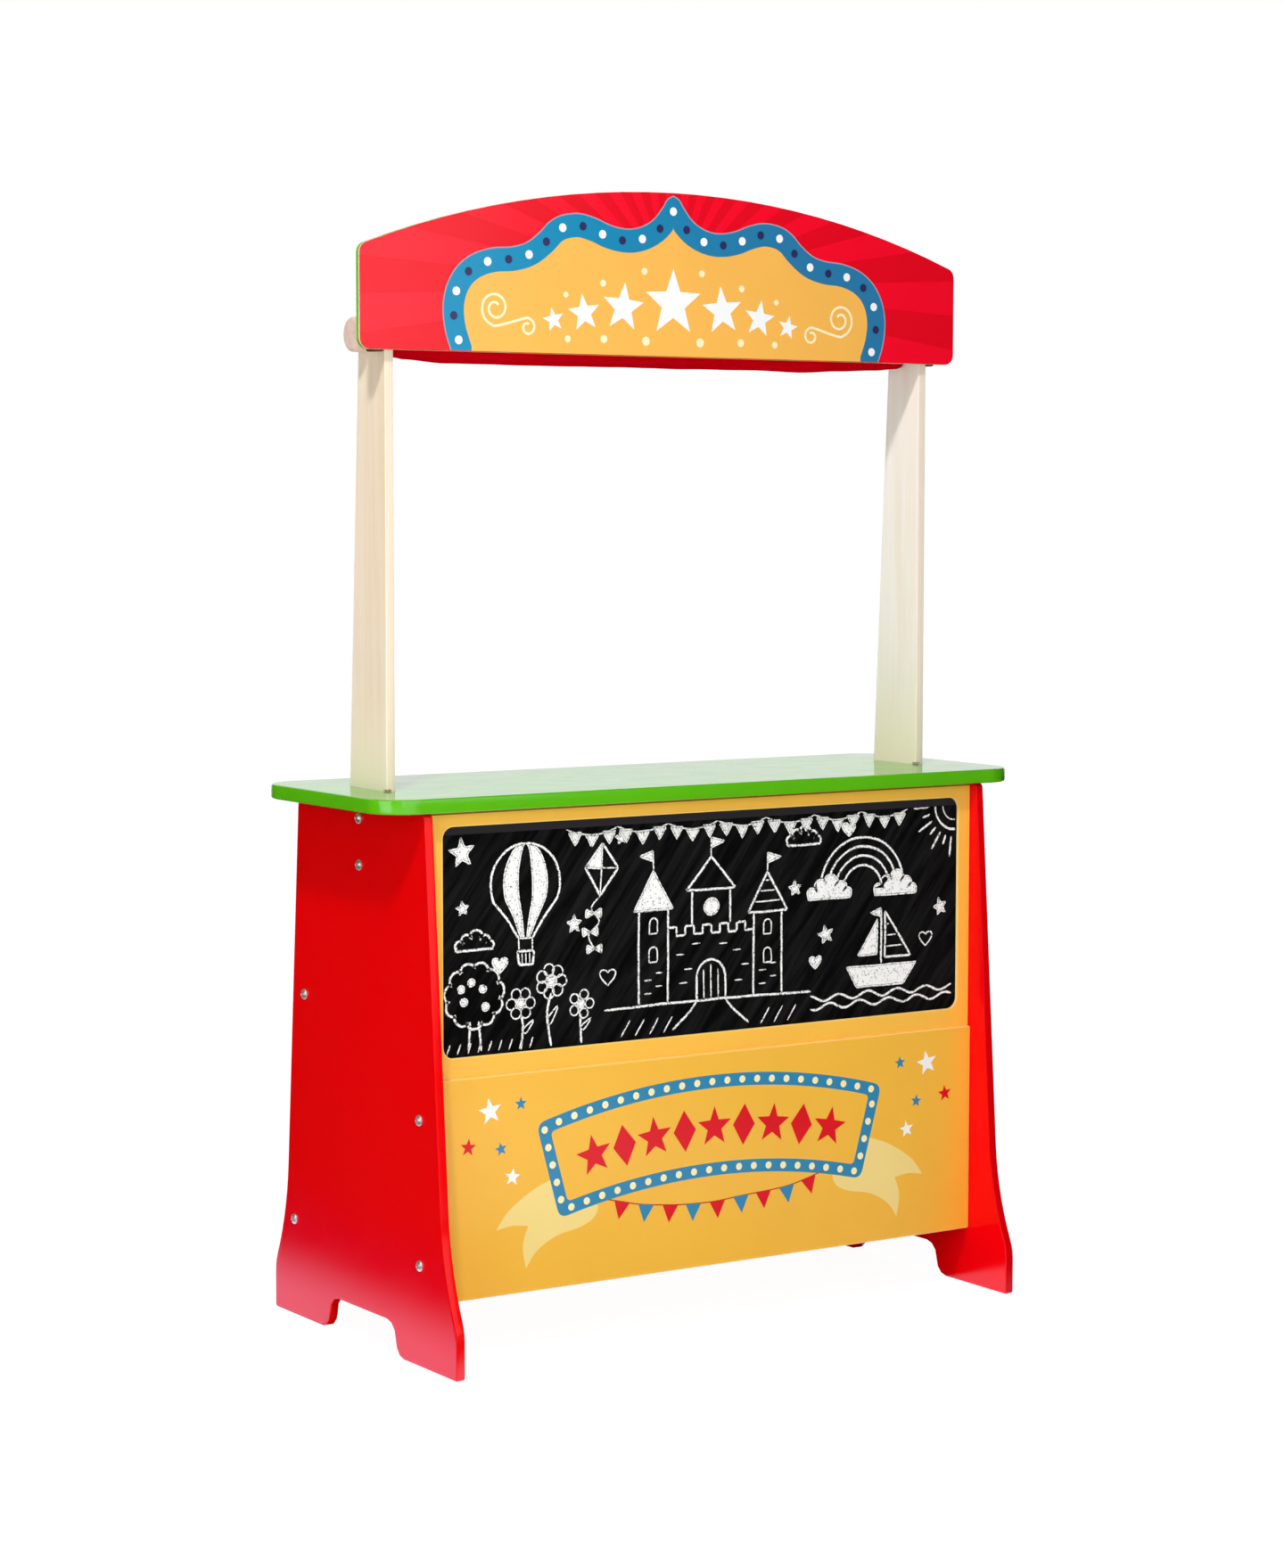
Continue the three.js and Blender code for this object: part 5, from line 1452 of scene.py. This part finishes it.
def floor():
    half = FLOOR_SIZE / 2
    mesh = bpy.data.meshes.new("floor")
    mesh.from_pydata([(-half, -half, 0), (half, -half, 0), (half, half, 0), (-half, half, 0)], [],
                     [(0, 1, 2, 3)])
    ground = bpy.data.objects.new("floor", mesh)
    bpy.context.collection.objects.link(ground)
    material = bpy.data.materials.new("floor")
    mesh.materials.append(material)
    paint = Nodes(material)
    spot = paint.node("NewGeometry", {}, "Position")
    x, y = (paint.axis(axis, spot) for axis in "XY")
    # Painted reflections: pinkish glow beside the side panels, stronger between them, a violet tinge
    # further out and white far in front
    out = paint.math("SUBTRACT", paint.math("ABSOLUTE", x), cad_box[1][0] - PANEL_SET_IN)
    outside = paint.math("GREATER_THAN", out, 0.0)
    beside = paint.between(out, *SIDE_GLOW_OUT, SIDE_GLOW, 0.0)
    within = paint.between(y, *INSIDE_GLOW_Y, INSIDE_GLOW, 0.0)
    behind = paint.node("MapRange", {0: y, 1: SIDE_GLOW_Y[0], 2: SIDE_GLOW_Y[1]})
    near = paint.times(paint.blend(outside, within, beside), behind)
    tinge = paint.times(paint.between(out, *TINGE_OUT, TINGE_GLOW, 0.0), outside)
    front = paint.times(paint.between(y, *FRONT_GLOW_Y, FRONT_GLOW, 0.0),
                        paint.between(x, *FRONT_GLOW_X, 1.0, 0.0))
    distance = paint.node("VectorMath", {0: spot}, "Value", operation="LENGTH")
    far = paint.between(distance, *FLOOR_FADE, FLOOR_GLOW, 1.0)
    matt, shadow = (paint.node("BsdfDiffuse", {"Color": (tone, tone, tone, 1.0)})
                    for tone in (FLOOR_TONE, FLOOR_SHADOW))
    glow, side_glow, tinge_glow, front_glow = (
        paint.node("Emission", {"Color": colour, "Strength": strength}) for colour, strength in
        ((WHITE, far), (SIDE_GLOW_TONE, near), (TINGE_TONE, tinge), (WHITE, front)))
    mirrored_glow = paint.node("AddShader", {0: side_glow, 1: tinge_glow})
    mirrored_glow = paint.node("AddShader", {0: mirrored_glow, 1: front_glow})
    seen = paint.node("AddShader", {0: glow, 1: shadow})
    glossy, camera_ray = (paint.node("LightPath", {}, ray) for ray in ("Is Glossy Ray", "Is Camera Ray"))
    lit = paint.node("MixShader", {0: glossy, 1: matt, 2: mirrored_glow})
    paint.node("OutputMaterial", {"Surface": paint.node("MixShader", {0: camera_ray, 1: lit, 2: seen})})


floor()


# The world: white behind the object, for the camera and for gloss, and a plain soft level of light

AMBIENT = 0.3
BACKDROP_SIDE_DEG = 33.2
BACKDROP_EDGE = (0.8, 0.93)


def world():
    studio = bpy.data.worlds.new("studio")
    sky = Nodes(studio)
    side = math.radians(BACKDROP_SIDE_DEG)
    inputs = {0: sky.node("TexCoord", {}, "Generated"), 1: (math.sin(side), math.cos(side), 0.0)}
    wall = sky.between(sky.node("VectorMath", inputs, "Value", operation="DOT_PRODUCT"), *BACKDROP_EDGE)
    glossy, camera_ray = (sky.node("LightPath", {}, ray) for ray in ("Is Glossy Ray", "Is Camera Ray"))
    strength = sky.blend(camera_ray, sky.blend(glossy, AMBIENT, wall), 1.0)
    sky.node("OutputWorld", {"Surface": sky.node("Background", {"Color": WHITE, "Strength": strength})})
    bpy.context.scene.world = studio


world()


# Lamps: place, size and target in metres, power in watts, and whether gloss and the boards see them

STAND_MIDDLE = (0.0, 0.0, 0.6)
LAMPS = {
    "front_card": ((-0.1, -3.6, 1.5), (4.0, 2.4), (-0.1, 0.0, 1.5), 40.0, True, False),
    "front_near": ((-0.55, -1.3, 0.8), (0.9, 0.9), STAND_MIDDLE, 8.0, False, True),
    "key": ((-1.59, -1.44, 3.2), (0.25, 0.25), STAND_MIDDLE, 62.0, True, True),
    "left_fill": ((-3.0, -0.8, 0.8), (1.8, 1.4), STAND_MIDDLE, 20.0, True, True),
    "rear_fill": ((1.6, 3.4, 2.4), (2.6, 2.0), STAND_MIDDLE, 26.0, False, True),
}
for name, (place, size, target, watts, glossy, diffuse) in LAMPS.items():
    light = bpy.data.lights.new(name, "AREA")
    light.shape = "RECTANGLE"
    light.size, light.size_y = size
    light.energy = watts
    holder = bpy.data.objects.new(name, light)
    bpy.context.collection.objects.link(holder)
    holder.location = place
    holder.rotation_euler = (Vector(target) - Vector(place)).to_track_quat("-Z", "Y").to_euler()
    holder.visible_glossy = glossy
    holder.visible_diffuse = diffuse
    holder.visible_camera = False


# The camera, at the photograph's viewing angle

CAMERA_PLACE = (-2.01994, -3.07283, 0.86346)
CAMERA_TURN_DEG = -33.22
CAMERA_TILT_DEG = 85.27
CAMERA_ROLL_DEG = 0.06
CAMERA_LENS = 79.34
CAMERA_SENSOR = 36.0

camera_data = bpy.data.cameras.new("camera")
camera_data.lens = CAMERA_LENS
camera_data.sensor_width = CAMERA_SENSOR
camera_data.sensor_fit = "AUTO"
camera = bpy.data.objects.new("camera", camera_data)
bpy.context.collection.objects.link(camera)
camera.matrix_world = (
    Matrix.Translation(CAMERA_PLACE) @ Matrix.Rotation(math.radians(CAMERA_TURN_DEG), 4, "Z")
    @ Matrix.Rotation(math.radians(CAMERA_TILT_DEG), 4, "X")
    @ Matrix.Rotation(math.radians(CAMERA_ROLL_DEG), 4, "Z"))
bpy.context.scene.camera = camera
bpy.context.scene.view_settings.view_transform = "Standard"
